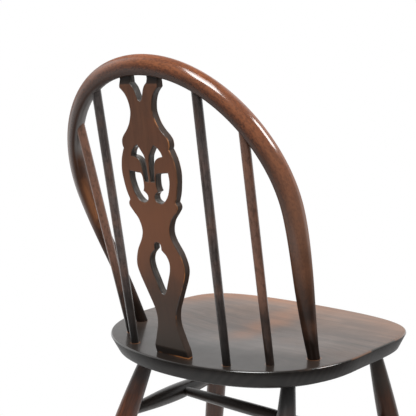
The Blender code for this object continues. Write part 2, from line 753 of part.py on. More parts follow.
def add_back(plank, hoop):
    """Set the spindles, the splat and the bow's wedges in the plank and the bow."""
    for hand, side in SIDES:
        for row, foot_x, inset, top_x in SPINDLES:
            name = "spindle_%s_%s" % (row, hand)
            spindle(name, foot_x, inset, top_x, side)
            socket = spindle("cut_" + name, foot_x, inset, top_x, side, grow=FIT_GAP)
            cut(plank, socket)
            cut(hoop, socket)
        cut(plank, bow_hole("cut_bow_hole_" + hand, side))
        bow_wedge("bow_wedge_" + hand, side)
        cut(hoop, bow_wedge("cut_bow_kerf_" + hand, side, grow=FIT_GAP))
        low_x, high_x = sorted((side * HORN_INNER, side * HORN_OUTER))
        top = splat_height() + SPLAT_BOW_DEPTH
        mouth = splat_height() - SPLAT_BOW_DEPTH - BOW_BODY_RADIUS
        cut(hoop, splat_slot("cut_horn_" + hand, low_x, high_x, mouth, top))
    splat()
    half = SPLAT_FOOT_HALF_WIDTH
    cut(plank, splat_slot("cut_splat_foot", -half, half, -SPLAT_SEAT_DEPTH, SEAT_THICKNESS))


def add_undercarriage(plank):
    """Set the legs in the plank and tie them with the H stretcher."""
    cross_stretcher("cross_stretcher")
    cross_socket = cross_stretcher("cut_cross_stretcher", grow=FIT_GAP)
    for hand, side in SIDES:
        rail = side_stretcher("side_stretcher_" + hand, side)
        cut(rail, cross_socket)
        rail_socket = side_stretcher("cut_side_stretcher_" + hand, side, grow=FIT_GAP)
        for row, front in (("front", True), ("rear", False)):
            name = "leg_%s_%s" % (row, hand)
            post = leg(name, front, side)
            cut(post, rail_socket)
            cut(plank, leg("cut_" + name, front, side, grow=FIT_GAP))


def stand_on_floor():
    """Hang every piece on one empty and put the chair on the floor, centred front to rear."""
    pieces = [item for item in bpy.data.objects if item.type == "MESH"]
    shown = [item for item in pieces if not item.hide_render]
    depths = [(item.matrix_world @ vert.co).y for item in shown for vert in item.data.vertices]
    chair = bpy.data.objects.new("chair", None)
    bpy.context.scene.collection.objects.link(chair)
    for item in pieces:
        item.parent = chair
    chair.location = (0, -(min(depths) + max(depths)) / 2, SEAT_HEIGHT)


def main():
    """Build the chair."""
    clear_scene()
    plank = seat()
    hoop = bow()
    add_back(plank, hoop)
    add_undercarriage(plank)
    bpy.context.view_layer.update()
    stand_on_floor()
    bpy.context.view_layer.update()


main()
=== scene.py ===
"""Finished surfaces of a bow-back side chair with a pierced thistle splat.

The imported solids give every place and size. Each class below remakes one sub-assembly as a fine mesh on the
same lines, dresses it in its own stained and lacquered wood, and stands it for the solids that it covers.
Metres, +Z up; the chair faces -Y and +X is the sitter's left.
"""
import logging
import math
from dataclasses import asdict, dataclass, fields, replace
from enum import Enum
from types import SimpleNamespace
from typing import Any, Callable, Mapping, NamedTuple, Sequence

import bmesh
import bpy
import numpy as np
from mathutils import Matrix, Vector


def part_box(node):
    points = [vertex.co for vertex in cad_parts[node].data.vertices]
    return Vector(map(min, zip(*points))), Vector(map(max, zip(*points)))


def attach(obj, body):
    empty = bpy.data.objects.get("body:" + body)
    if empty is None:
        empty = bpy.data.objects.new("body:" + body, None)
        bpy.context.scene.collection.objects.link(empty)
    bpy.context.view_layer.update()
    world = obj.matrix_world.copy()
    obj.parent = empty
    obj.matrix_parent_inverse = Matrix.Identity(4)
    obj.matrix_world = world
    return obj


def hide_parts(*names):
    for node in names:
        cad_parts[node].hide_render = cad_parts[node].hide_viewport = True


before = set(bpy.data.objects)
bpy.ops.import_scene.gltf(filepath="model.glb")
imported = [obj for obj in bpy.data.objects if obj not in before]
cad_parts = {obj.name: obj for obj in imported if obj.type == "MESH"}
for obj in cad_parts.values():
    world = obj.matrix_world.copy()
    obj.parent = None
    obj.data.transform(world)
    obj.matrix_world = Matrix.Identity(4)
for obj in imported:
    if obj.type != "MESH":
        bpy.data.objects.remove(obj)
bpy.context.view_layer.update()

LOG = logging.getLogger("chair")
ROOT_BODY = "root"
GRAIN_PLACE = "grain_place"
FACING = "facing"
MILLIMETRES = 1000
QUARTER_TURN = math.pi / 2
HALF_TURN = math.pi
FULL_TURN = 2 * math.pi
MEAN_CLOUD = 0.5
HANDLE_PARTS = 6

Pair = tuple[float, float]
Triple = tuple[float, float, float]
Colour = tuple[float, float, float]


class Hand(Enum):
    """The two sides of the chair, with the sign of X on each."""

    LEFT = 1
    RIGHT = -1


class Row(Enum):
    """The two rows of legs."""

    FRONT = "front"
    REAR = "rear"


# Node trees


def operation(kind: str, reflected: bool = False) -> Callable[..., "Value"]:
    """Makes a method that adds one Math node.

    Args:
        kind: the node's operation.
        reflected: whether the method's own value is the last operand.

    Returns:
        The method.
    """
    def method(self: "Value", *others: "Value | float") -> "Value":
        """Adds the node and hands on its result."""
        operands = (*others, self) if reflected else (self, *others)
        return self.nodes.node("ShaderNodeMath", {"operation": kind}, dict(enumerate(operands)))

    return method


class Value:
    """A node's output that stands in Python expressions."""

    __add__, __radd__ = operation("ADD"), operation("ADD", reflected=True)
    __sub__, __rsub__ = operation("SUBTRACT"), operation("SUBTRACT", reflected=True)
    __mul__, __rmul__ = operation("MULTIPLY"), operation("MULTIPLY", reflected=True)
    __truediv__, __rtruediv__ = operation("DIVIDE"), operation("DIVIDE", reflected=True)
    __pow__, __abs__ = operation("POWER"), operation("ABSOLUTE")
    least, most, below = operation("MINIMUM"), operation("MAXIMUM"), operation("LESS_THAN")
    sine, cosine = operation("SINE"), operation("COSINE")

    def __init__(self, nodes: "NodeBuilder", socket: bpy.types.NodeSocket) -> None:
        """Wraps one output socket of a tree."""
        self.nodes, self.socket = nodes, socket

    def between(self, run: Pair) -> "Value":
        """A soft step from 0 at the run's start to 1 at its end, which may lie lower."""
        ends = {"Value": self, "From Min": run[0], "From Max": run[1], "To Min": 0.0, "To Max": 1.0}
        return self.nodes.node("ShaderNodeMapRange", {"interpolation_type": "SMOOTHSTEP"}, ends)

    def span(self, low: "Value | float", high: "Value | float") -> "Value":
        """What lies at this share of the way from low to high."""
        return low + self * (high - low)


@dataclass(frozen=True)
class Clouds:
    """A noise pattern: clouds to a metre along each axis, their shape, and a step that sharpens them."""

    scale: Triple
    detail: float
    roughness: float
    distortion: float = 0.0
    step: Pair | None = None


class NodeBuilder:
    """Adds nodes to one tree, shader or geometry."""

    def __init__(self, tree: bpy.types.NodeTree) -> None:
        """Starts on a tree, which it empties."""
        self.tree = tree
        tree.nodes.clear()

    @classmethod
    def of(cls, item: bpy.types.Material | bpy.types.World) -> "NodeBuilder":
        """Starts on the tree of a material or of a world."""
        item.use_nodes = True
        return cls(item.node_tree)

    def node(self, kind: str, settings: Mapping[str, Any] | None = None,
             inputs: Mapping[str | int, Any] | None = None, output: str | int = 0) -> Value:
        """Adds one node.

        Args:
            kind: the node's type.
            settings: its own properties, set before its sockets.
            inputs: a value or a link for each socket, by identifier, name or index.
            output: the socket to hand on, by identifier, name or index.

        Returns:
            The chosen output, or an empty wrapper when the node has none.
        """
        made = self.tree.nodes.new(kind)
        for name, setting in (settings or {}).items():
            setattr(made, name, setting)
        for key, given in (inputs or {}).items():
            socket = self._find(made.inputs, key)
            if isinstance(given, Value):
                self.tree.links.new(given.socket, socket)
            elif socket.type == "RGBA" and len(given) == 3:
                socket.default_value = (*given, 1.0)
            else:
                socket.default_value = given
        return Value(self, self._find(made.outputs, output) if len(made.outputs) else None)

    @staticmethod
    def _find(sockets: Any, key: str | int) -> bpy.types.NodeSocket:
        """The socket of that identifier, name or index."""
        named = [socket for socket in sockets if socket.identifier == key]
        return named[0] if named else sockets[key]

    def blend(self, share: Value | float, first: Value | Colour, second: Value | Colour) -> Value:
        """Mixes two colours, from a share of 0 for the first to 1 for the second."""
        inputs = {"Factor_Float": share, "A_Color": first, "B_Color": second}
        return self.node("ShaderNodeMix", {"data_type": "RGBA"}, inputs, "Result_Color")

    def vector(self, kind: str, first: Value, second: Value | Triple, output: str | int = 0) -> Value:
        """Adds a Vector Math node on two places."""
        return self.node("ShaderNodeVectorMath", {"operation": kind}, {0: first, 1: second}, output)

    def distance(self, first: Value, second: Value | Triple) -> Value:
        """How far two places lie apart."""
        return self.vector("DISTANCE", first, second, "Value")

    def parts(self, place: Value) -> tuple[Value, Value, Value]:
        """The three coordinates of a place."""
        return tuple(self.node("ShaderNodeSeparateXYZ", {}, {0: place}, axis) for axis in range(3))

    def stored(self, name: str, output: str = "Fac") -> Value:
        """What the mesh stores at its points under a name: a number, or a place as its Vector."""
        return self.node("ShaderNodeAttribute", {"attribute_name": name}, {}, output)

    def noise(self, place: Value, clouds: Clouds) -> Value:
        """A cloudy value.

        Args:
            place: where the pattern is read.
            clouds: the pattern.

        Returns:
            A value around one half, or from 0 to 1 where the pattern has a step.
        """
        inputs = {"Vector": self.vector("MULTIPLY", place, clouds.scale), "Scale": 1.0,
                  "Detail": clouds.detail, "Roughness": clouds.roughness, "Distortion": clouds.distortion}
        value = self.node("ShaderNodeTexNoise", {"noise_dimensions": "3D"}, inputs, "Fac")
        return value.between(clouds.step) if clouds.step else value


# Finishes


class Step(NamedTuple):
    """A factor of a mask: a soft step over a run of a measure, or the measure itself where it has no run.

    Shares are the factor's two ends, where they aren't 0 and 1. The step's edge wanders with the clouds.
    """

    measure: str
    run: Pair | None = None
    shares: Pair | None = None
    wander: float = 0.0


Mask = tuple[Step, ...]


class Layer(NamedTuple):
    """A colour over the wood: how far it covers, its mask, masks that also hold, and layers on the colour."""

    colour: Colour
    share: float
    mask: Mask
    others: tuple[Mask, ...] = ()
    over: tuple["Layer", ...] = ()


class Sheen(NamedTuple):
    """A change of the lacquer: how far it is dulled or, below 0, polished, and where."""

    share: float
    mask: Mask


class Surface:
    """The measures of a surface, by name, and what is mixed from them."""

    def __init__(self, nodes: NodeBuilder, patterns: Mapping[str, Clouds]) -> None:
        """Adds the places on the chair and in the grain, the directions and the patterns.

        Args:
            nodes: the material's tree.
            patterns: the wood's patterns, by name.
        """
        self.nodes = nodes
        place = nodes.stored(GRAIN_PLACE, "Vector")
        self.spot = nodes.node("ShaderNodeTexCoord", {}, {}, "Object")
        across, depth, height = nodes.parts(self.spot)
        outward, rearward, lift = nodes.parts(nodes.stored(FACING, "Vector"))
        aside, _, up = nodes.parts(place)
        self.measures = {name: nodes.noise(place, clouds) for name, clouds in patterns.items()}
        self.measures.update(across=across, depth=depth, height=height, breadth=abs(across), up=up,
                             reach=abs(aside), flare=aside * outward, rearward=rearward, lift=lift)

    def __getitem__(self, name: str) -> Value:
        """A measure, which the mesh stores at its points where the surface hasn't got it."""
        return self.measures[name] if name in self.measures else self.nodes.stored(name)

    def masked(self, mask: Mask) -> Value:
        """Multiplies a mask's steps.

        Args:
            mask: the steps.

        Returns:
            A value from 0 to 1.
        """
        whole: Value | float = 1.0
        for step in mask:
            value = self[step.measure]
            if step.wander:
                value = value + (self["cloud"] - MEAN_CLOUD) * step.wander
            if step.run:
                value = value.between(step.run)
            whole = whole * (value.span(*step.shares) if step.shares else value)
        return whole

    def painted(self, tone: Value | Colour, layers: Sequence[Layer]) -> Value | Colour:
        """Lays layers over a tone.

        Args:
            tone: the colour below.
            layers: the layers, from the lowest to the top.

        Returns:
            The mixed colour.
        """
        for layer in layers:
            share = self.masked(layer.mask)
            for other in layer.others:
                share = share.most(self.masked(other))
            tone = self.nodes.blend(share * layer.share, tone, self.painted(layer.colour, layer.over))
        return tone


@dataclass(frozen=True)
class LacqueredWood:
    """Stained wood under lacquer, with grain that follows the piece."""

    name: str
    dark: Colour
    light: Colour
    flush: Colour
    layers: tuple[Layer, ...] = ()
    sheens: tuple[Sheen, ...] = ()
    specks: Clouds = Clouds((45.0, 650.0, 45.0), 2.0, 0.6, step=(0.42, 0.66))
    clouds: Clouds = Clouds((16.0, 16.0, 16.0), 3.0, 0.55)
    fleck: Clouds = Clouds((1100.0, 1100.0, 210.0), 1.0, 0.5, step=(0.60, 0.72))
    fleck_share: float = 0.30
    flush_clouds: Pair = (0.45, 0.75)
    flush_share: float = 0.55
    streaks: float = 90.0
    slenderness: float = 12.0
    fineness: float = 9.0
    fibre_slenderness: float = 2.0
    figure_share: float = 0.6
    roughness: float = 0.42
    unevenness: float = 0.25
    worn_roughness: float = 0.15
    coat: float = 0.75
    worn_coat: float = 0.9
    coat_roughness: float = 0.14
    coat_ior: float = 1.5
    specular: float = 0.25
    relief: float = 0.000006
    relief_strength: float = 0.6
    figure_relief: float = 0.5
    fleck_relief: float = 0.1

    def surface(self, nodes: NodeBuilder) -> Surface:
        """Adds the wood's measures, with patterns that are long in the direction of the grain.

        Args:
            nodes: the material's tree.

        Returns:
            The measures.
        """
        broad, fine = self.streaks, self.streaks * self.fineness
        figure = (broad, broad, broad / self.slenderness)
        fibre = (fine, fine, fine / (self.slenderness * self.fibre_slenderness))
        return Surface(nodes, {
            "figure": Clouds(figure, detail=4.0, roughness=0.6, distortion=0.5, step=(0.30, 0.70)),
            "fibre": Clouds(fibre, detail=2.0, roughness=0.6, step=(0.25, 0.75)),
            "cloud": self.clouds, "fleck": self.fleck, "specks": self.specks})

    def colour(self, at: Surface) -> Value:
        """Mixes the stain from streaks, flushed clouds and dark flecks, and lays the finish's layers over it.

        Args:
            at: the surface.

        Returns:
            The colour.
        """
        streak = at["figure"] * self.figure_share + at["fibre"] * (1.0 - self.figure_share)
        flushed = Layer(self.flush, self.flush_share, (Step("cloud", self.flush_clouds),))
        flecked = Layer(self.dark, self.fleck_share, (Step("fleck"),))
        return at.painted(at.nodes.blend(streak, self.dark, self.light), (flushed, flecked, *self.layers))

    def wear(self, at: Surface) -> Value | float:
        """Finds how far the lacquer is dulled: as far as the strongest sheen says, less where it is polished.

        Args:
            at: the surface.

        Returns:
            The wear, at most 1.
        """
        wear: Value | float = 0.0
        for share, mask in self.sheens:
            part = at.masked(mask) * share
            wear = part.most(wear) if share > 0 else part + wear
        return wear

    def material(self) -> bpy.types.Material:
        """Builds the finish.

        Returns:
            A material that reads the piece's own grain places.
        """
        made = bpy.data.materials.new(self.name)
        nodes = NodeBuilder.of(made)
        at = self.surface(nodes)
        wear = self.wear(at)
        height = at["figure"] * self.figure_relief + at["fibre"] - at["fleck"] * self.fleck_relief
        relief = {"Strength": self.relief_strength, "Distance": self.relief, "Height": height}
        uneven = (at["cloud"] - MEAN_CLOUD) * self.unevenness
        surface = nodes.node("ShaderNodeBsdfPrincipled", {}, {
            "Base Color": self.colour(at),
            "Roughness": self.roughness + uneven + wear * self.worn_roughness,
            "Coat Weight": self.coat * (1.0 - wear * self.worn_coat),
            "Normal": nodes.node("ShaderNodeBump", {}, relief),
            "Coat Roughness": self.coat_roughness,
            "Coat IOR": self.coat_ior,
            "Specular IOR Level": self.specular,
        })
        nodes.node("ShaderNodeOutputMaterial", {}, {"Surface": surface})
        return made


@dataclass(frozen=True)
class SeatWood(LacqueredWood):
    """The seat's finish, with rings of figure, and rubbed rims of sockets of a middle and a radius."""

    rings: Clouds = Clouds((5.0, 14.0, 5.0), 2.0, 0.5)
    ring_sway: float = 0.09
    ring_density: float = 620.0
    ridge: Clouds = Clouds((9.0, 26.0, 9.0), 3.0, 0.55)
    ridge_sway: float = 0.06
    sockets: tuple[tuple[Triple, float], ...] = ()
    socket_width: float = 0.0024

    def surface(self, nodes: NodeBuilder) -> Surface:
        """Adds the seat's own measures: its rings, the way off its ridge and the nearness of a socket's rim.

        Args:
            nodes: the material's tree.

        Returns:
            The measures.
        """
        at = super().surface(nodes)
        swayed = at["depth"] + nodes.noise(at.spot, self.rings) * self.ring_sway
        off_ridge = at["across"] + (nodes.noise(at.spot, self.ridge) - MEAN_CLOUD) * self.ridge_sway
        socket: Value | float = 0.0
        for middle, radius in self.sockets:
            off = abs(nodes.distance(at.spot, middle) - radius) / self.socket_width
            socket = (1.0 - off.least(1.0)).most(socket)
        rings = (swayed * self.ring_density).sine() * 0.5 + 0.5
        at.measures.update(rings=rings, ridge=abs(off_ridge), socket=socket)
        return at


SEAT_DARK, SEAT_REAR, SEAT_WORN = (0.034, 0.022, 0.017), (0.016, 0.013, 0.011), (0.35, 0.140, 0.056)
SEAT_ARRIS = (Step("lift", (0.97, 0.80)), Step("lift", (0.15, 0.40)))
SEAT_RUBBED = (
    (Step("ridge", (0.042, 0.0), (0.0, 0.50)), Step("depth", (0.05, -0.03), wander=0.06),
     Step("figure", shares=(0.60, 1.0))),
    (Step("rim", (0.70, 1.0)), Step("depth", (-0.05, -0.17)), Step("across", (-0.12, 0.12), (0.20, 1.0)),
     Step("figure", shares=(0.60, 1.0))),
)
SEAT_WOOD = SeatWood(
    "seat_lacquer", dark=SEAT_DARK, light=(0.112, 0.078, 0.061), flush=(0.136, 0.082, 0.059),
    streaks=60.0, slenderness=16.0, coat=0.40, coat_ior=1.8, specular=0.10,
    layers=(
        Layer(SEAT_DARK, 0.22, (Step("rings"),)),
        # Dark rear and browner front
        Layer(SEAT_REAR, 0.90, (Step("depth", (-0.03, 0.11), wander=0.14),)),
        Layer((0.255, 0.128, 0.068), 1.0,
              (Step("depth", (-0.06, -0.22), wander=0.16), Step("figure", shares=(0.35, 0.65)))),
        # Rubbed ridge and front rim, near-black edge
        Layer(SEAT_WORN, 0.80, SEAT_RUBBED[0], others=SEAT_RUBBED[1:]),
        Layer((0.010, 0.008, 0.007), 1.0, (Step("lift", (0.97, 0.75)),),
              over=(Layer(SEAT_REAR, 1.0, (Step("rings"),)),)),
        # Rubbed socket rings and a bare stretch of the right arris
        Layer(SEAT_WORN, 0.60, (Step("socket"), Step("cloud", (0.36, 0.52)))),
        Layer(SEAT_WORN, 0.30, (*SEAT_ARRIS, Step("across", (-0.14, -0.20)), Step("cloud", (0.50, 0.60)))),
    ),
    sheens=(*(Sheen(0.40, mask) for mask in SEAT_RUBBED), Sheen(0.60, (Step("lift", (0.35, 0.05)),)),
            Sheen(-1.6, SEAT_ARRIS)))

BOW_DARK, BOW_SHADE = (0.066, 0.021, 0.010), (0.046, 0.022, 0.014)
BOW_LEFT = Step("across", (0.01, 0.15), wander=0.12)
BOW_FOOT = (Step("height", (0.63, 0.44), wander=0.18),)
BOW_RUBBED = (Step("rubbed"), Step("cloud", (0.44, 0.54)), Step("figure", shares=(0.4, 1.0)))
BOW_WOOD = LacqueredWood(
    "bow_lacquer", dark=BOW_DARK, light=(0.245, 0.073, 0.024), flush=(0.225, 0.066, 0.024),
    specks=Clouds((380.0, 380.0, 220.0), 3.0, 0.6, step=(0.42, 0.66)), streaks=120.0, slenderness=5.0,
    coat=1.0, coat_ior=2.0, specular=0.08, relief=0.0000001,
    layers=(
        # Painted light: the outer side painted brighter, less so at its outermost rim, and dark specks that
        # thicken inward
        Layer((0.315, 0.106, 0.040), 0.60,
              (Step("inward", (-0.15, -0.75)), Step("inward", (-1.0, -0.75), (0.35, 1.0)))),
        Layer(BOW_DARK, 1.0, (Step("specks"), Step("inward", (-0.7, 0.1), (0.50, 0.95)))),
        # Duller lower down, shaded on the inner flank and to the left
        Layer((0.270, 0.142, 0.090), 0.45, (Step("height", (0.80, 0.60), wander=0.12),)),
        Layer(BOW_SHADE, 1.0, (Step("inward", (-0.50, 0.50)), Step("height", (0.58, 0.74), (0.35, 0.80)))),
        Layer(BOW_SHADE, 0.50, (BOW_LEFT,)),
        # Painted reflection: a pale grey sheen painted on the inner face of the left shoulder
        Layer((0.280, 0.270, 0.262), 0.80, (Step("inward", (0.50, 0.85)), BOW_LEFT,
                                            Step("height", (0.70, 0.73)), Step("height", (0.85, 0.80)))),
        # Near-black feet and one rubbed inner side
        Layer((0.012, 0.008, 0.006), 1.0, BOW_FOOT, over=(Layer(BOW_SHADE, 0.30, (Step("figure"),)),)),
        Layer((0.30, 0.12, 0.05), 0.85, BOW_RUBBED),
    ),
    sheens=(
        Sheen(1.0, BOW_RUBBED), Sheen(1.0, BOW_FOOT), Sheen(1.0, (Step("height", (0.66, 0.56)),)),
        Sheen(0.95, (Step("inward", (-0.86, -0.98)), Step("height", (0.80, 0.83)))),
        Sheen(0.95, (Step("rearward", (0.05, -0.35)),)), Sheen(0.95, (Step("inward", (0.1, 0.7)),)),
        Sheen(0.90, (BOW_LEFT, Step("inward", (-0.1, -0.7)))),
        Sheen(0.50, (BOW_LEFT, Step("height", (0.76, 0.82)))),
    ))

SPLAT_OUTER = Step("flare", (0.010, 0.016))
SPLAT_ARRIS = (Step("wall", (0.05, 0.35)), Step("wall", (0.95, 0.60)))
SPLAT_RUBBED = (
    (*SPLAT_ARRIS, Step("cloud", (0.55, 0.64))),
    (*SPLAT_ARRIS, Step("reach", (0.0415, 0.0455)), Step("figure")),
    (Step("up", (0.0, 0.0012)), Step("up", (0.0032, 0.0020)), Step("cloud", (0.40, 0.52))),
)
SPLAT_WOOD = LacqueredWood(
    "splat_lacquer", dark=(0.086, 0.036, 0.019), light=(0.136, 0.055, 0.028), flush=(0.165, 0.054, 0.022),
    streaks=140.0,
    layers=(
        # Redder waist and darker foot; near-black end bevels, painted shade where the splat enters the seat
        # and the bow
        Layer((0.225, 0.086, 0.040), 0.60, (Step("height", (0.76, 0.62)), Step("height", (0.50, 0.58)))),
        Layer((0.050, 0.037, 0.029), 1.0, (Step("height", (0.62, 0.42), wander=0.10),)),
        Layer((0.014, 0.010, 0.008), 0.90, (Step("bevel", (0.0, 0.35)),)),
        # Sawn walls, browner on the outside
        Layer((0.026, 0.021, 0.018), 1.0, (Step("wall", (0.0, 0.4)),),
              over=(Layer((0.078, 0.062, 0.050), 1.0, (Step("specks"),)),
                    Layer((0.042, 0.024, 0.016), 0.80, (SPLAT_OUTER,)))),
        # Rubbed arrises, nibs and sill
        Layer((0.46, 0.18, 0.06), 0.85, SPLAT_RUBBED[0], others=SPLAT_RUBBED[1:]),
    ),
    sheens=(*(Sheen(1.0, mask) for mask in SPLAT_RUBBED),
            Sheen(0.75, (SPLAT_OUTER, Step("wall", (0.5, 0.9))))))

SPINDLE_DARK, SPINDLE_FLUSH = (0.022, 0.016, 0.014), (0.260, 0.120, 0.074)
SPINDLE_WOOD = LacqueredWood(
    "spindle_lacquer", dark=SPINDLE_DARK, light=(0.150, 0.120, 0.112), flush=SPINDLE_FLUSH,
    specks=Clouds((230.0, 230.0, 120.0), 3.0, 0.7, step=(0.46, 0.66)), streaks=160.0, coat_roughness=0.22,
    layers=(
        # Warmer outer pair, specks, darker tops of the inner pair, near-black feet
        Layer(SPINDLE_FLUSH, 1.0,
              (Step("breadth", (0.112, 0.130)), Step("cloud", (0.30, 0.62), (0.55, 0.80)))),
        Layer(SPINDLE_DARK, 0.45, (Step("specks"),)),
        Layer((0.020, 0.020, 0.020), 0.40, (Step("breadth", (0.130, 0.112)), Step("height", (0.66, 0.78)))),
        Layer((0.010, 0.008, 0.007), 1.0, (Step("height", (0.58, 0.42), wander=0.16),)),
    ))

LEG_FRONT = (Step("depth", (0.0, -0.1)),)
LEG_WOOD = LacqueredWood(
    "leg_lacquer", dark=(0.040, 0.016, 0.010), light=(0.170, 0.055, 0.024), flush=(0.165, 0.042, 0.016),
    streaks=110.0, coat=0.5, coat_roughness=0.26,
    layers=(
        # Darker front legs; near-black tops, painted shade under the seat
        Layer((0.030, 0.019, 0.014), 0.60, LEG_FRONT),
        Layer((0.040, 0.038, 0.038), 1.0, (Step("height", (0.26, 0.37), wander=0.20),),
              over=(Layer((0.046, 0.037, 0.031), 1.0, LEG_FRONT),)),
    ),
    sheens=(Sheen(0.10, (Step("height", (0.37, 0.26), wander=0.20),)),))

STRETCHER_WOOD = LacqueredWood("stretcher_lacquer", dark=(0.012, 0.010, 0.009), light=(0.036, 0.024, 0.019),
                               flush=(0.040, 0.020, 0.013), streaks=110.0, coat=0.6, coat_roughness=0.22)
WEDGE_WOOD = LacqueredWood("wedge_sawn", dark=(0.110, 0.060, 0.030), light=(0.230, 0.130, 0.065),
                           flush=(0.180, 0.090, 0.042), roughness=0.62, coat=0.1)


# Lines and meshes


def bezier(knots: Sequence[Sequence[float]], steps: int) -> np.ndarray:
    """Points along a cubic curve.

    Args:
        knots: its start, its two handles and its end.
        steps: how many pieces it is cut into.

    Returns:
        The points, from the start up to, and without, the end.
    """
    t = (np.arange(steps) / steps)[:, None]
    a, b, c, d = (np.asarray(knot, float) for knot in knots)
    return (1 - t) ** 3 * a + 3 * t * (1 - t) ** 2 * b + 3 * t * t * (1 - t) * c + t ** 3 * d


def smooth_run(keys: Sequence[Pair], steps: int) -> np.ndarray:
    """A smooth line through key points, with corners only at its two ends.

    Args:
        keys: the points to pass through.
        steps: how many pieces each stretch is cut into.

    Returns:
        The line's points, both ends included.
    """
    knots = np.asarray(keys, float)
    last = len(knots) - 1
    runs = []
    for i in range(last):
        before, here, there, after = knots[max(i - 1, 0)], knots[i], knots[i + 1], knots[min(i + 2, last)]
        leave, arrive = (there - before) / HANDLE_PARTS, (after - here) / HANDLE_PARTS
        runs.append(bezier((here, here + leave, there - arrive, there), steps))
    return np.vstack(runs + [knots[-1:]])


def eased(corners: Sequence[Pair], reach: float, steps: int) -> list[np.ndarray]:
    """Rounds a corner of a profile.

    Args:
        corners: the points before, at and after the corner.
        reach: how far the rounding goes on both sides.
        steps: how many pieces it is cut into.

    Returns:
        The points of the rounding, both ends included.
    """
    a, b, c = (np.asarray(corner, float) for corner in corners)
    start = b + reach * (a - b) / np.linalg.norm(a - b)
    end = b + reach * (c - b) / np.linalg.norm(c - b)
    shares = np.linspace(0, 1, steps + 1)
    return [(1 - t) ** 2 * start + 2 * t * (1 - t) * b + t * t * end for t in shares]


def mirrored(points: np.ndarray) -> np.ndarray:
    """The same points on the other side of the middle plane, in reverse order."""
    return points[::-1] * np.array([-1.0] + [1.0] * (points.shape[1] - 1))


def run_lengths(points: np.ndarray) -> np.ndarray:
    """How far each point of a line lies from its start, along the line."""
    return np.append(0.0, np.cumsum(np.linalg.norm(np.diff(points, axis=0), axis=1)))


def leaning(point: Vector, angle: float) -> Matrix:
    """A frame at a point, leaning to the rear by an angle."""
    return Matrix.Translation(point) @ Matrix.Rotation(-angle, 4, "X")


def placed(points: np.ndarray, place: Matrix) -> np.ndarray:
    """Points of a piece's own frame, set on the chair."""
    return np.asarray(points, float) @ np.array(place.to_3x3()).T + np.array(place.translation)


def around(count: int) -> list[tuple[int, int]]:
    """Each point of a closed ring with the next one, by number."""
    return [(i, (i + 1) % count) for i in range(count)]


def skin(rings: Sequence[np.ndarray]) -> tuple[np.ndarray, list[tuple[int, ...]]]:
    """Quads between rings of equally many points.

    Args:
        rings: the stacked rings, each closed on itself.

    Returns:
        The points and the faces.
    """
    count = len(rings[0])
    starts = range(0, count * (len(rings) - 1), count)
    faces = [(low + i, low + j, low + count + j, low + count + i) for low in starts for i, j in around(count)]
    return np.vstack(rings), faces


def new_mesh(name: str, points: np.ndarray, faces: Sequence[tuple[int, ...]]) -> bpy.types.Mesh:
    """Makes a mesh.

    Args:
        name: its name.
        points: its points.
        faces: its faces, as numbers of points.

    Returns:
        The mesh.
    """
    mesh = bpy.data.meshes.new(name)
    mesh.from_pydata(points.tolist(), [], list(faces))
    mesh.update()
    return mesh


def new_object(name: str, data: bpy.types.ID) -> bpy.types.Object:
    """Adds an object to the scene.

    Args:
        name: its name.
        data: its mesh, curve, lamp or camera.

    Returns:
        The object, at the origin.
    """
    item = bpy.data.objects.new(name, data)
    bpy.context.scene.collection.objects.link(item)
    return item


def baked(item: bpy.types.Object) -> bpy.types.Mesh:
    """Turns a working object, with its modifiers, into a plain mesh.

    Args:
        item: the object, which is removed.

    Returns:
        The mesh.
    """
    seen = item.evaluated_get(bpy.context.evaluated_depsgraph_get())
    mesh = bpy.data.meshes.new_from_object(seen)
    bpy.data.objects.remove(item)
    return mesh


def vectors(items: Any, key: str = "co") -> np.ndarray:
    """Reads a vector of each item of a mesh.

    Args:
        items: the mesh's points, or their normals.
        key: the vector's name in them.

    Returns:
        A row for each item.
    """
    values = np.zeros(len(items) * 3, np.float32)
    items.foreach_get(key, values)
    return values.reshape(-1, 3).astype(float)


def store(mesh: bpy.types.Mesh, name: str, values: np.ndarray) -> None:
    """Stores a number or a vector at every point of a mesh."""
    kind, key = ("FLOAT_VECTOR", "vector") if values.ndim == 2 else ("FLOAT", "value")
    mesh.attributes.new(name, kind, "POINT").data.foreach_set(key, values.astype(np.float32).ravel())


@dataclass(frozen=True)
class Piece:
    """A shown piece: its name, the solid that it stands for, its finish's slot, and its shading.

    Edges that bend by more than the crease stay sharp, and flat faces may keep an even shading.
    """

    name: str
    node: str
    slot: str
    crease: float = math.radians(38)
    flat: bool = False

    def show(self, mesh: bpy.types.Mesh, finish: bpy.types.Material, grain: np.ndarray,
             **stored: np.ndarray) -> None:
        """Dresses a mesh and lets it ride on the chair and stand for its solid.

        Args:
            mesh: the piece's mesh, in place on the chair.
            finish: its material.
            grain: each point's place in the grain, which runs along the last axis.
            stored: numbers for the finish at each point, by name.
        """
        work = bmesh.new()
        work.from_mesh(mesh)
        bmesh.ops.recalc_face_normals(work, faces=work.faces)
        work.to_mesh(mesh)
        work.free()
        stored.update({GRAIN_PLACE: grain, FACING: vectors(mesh.vertex_normals, "vector")})
        for name, values in stored.items():
            store(mesh, name, values)
        mesh.shade_smooth()
        mesh.set_sharp_from_angle(angle=self.crease)
        mesh.materials.clear()
        mesh.materials.append(finish)
        piece = new_object(self.name, mesh)
        if self.flat:
            piece.modifiers.new("flat faces", "WEIGHTED_NORMAL").keep_sharp = True
        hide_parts(self.node)
        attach(piece, ROOT_BODY)
        points = vectors(mesh.vertices)
        box = np.array([points.min(0), points.max(0)])
        off = np.abs(box - np.array(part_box(self.node))).max() * MILLIMETRES
        LOG.info("%s: %d faces, within %.1f mm of its solid's box", self.name, len(mesh.polygons), off)


# Seat


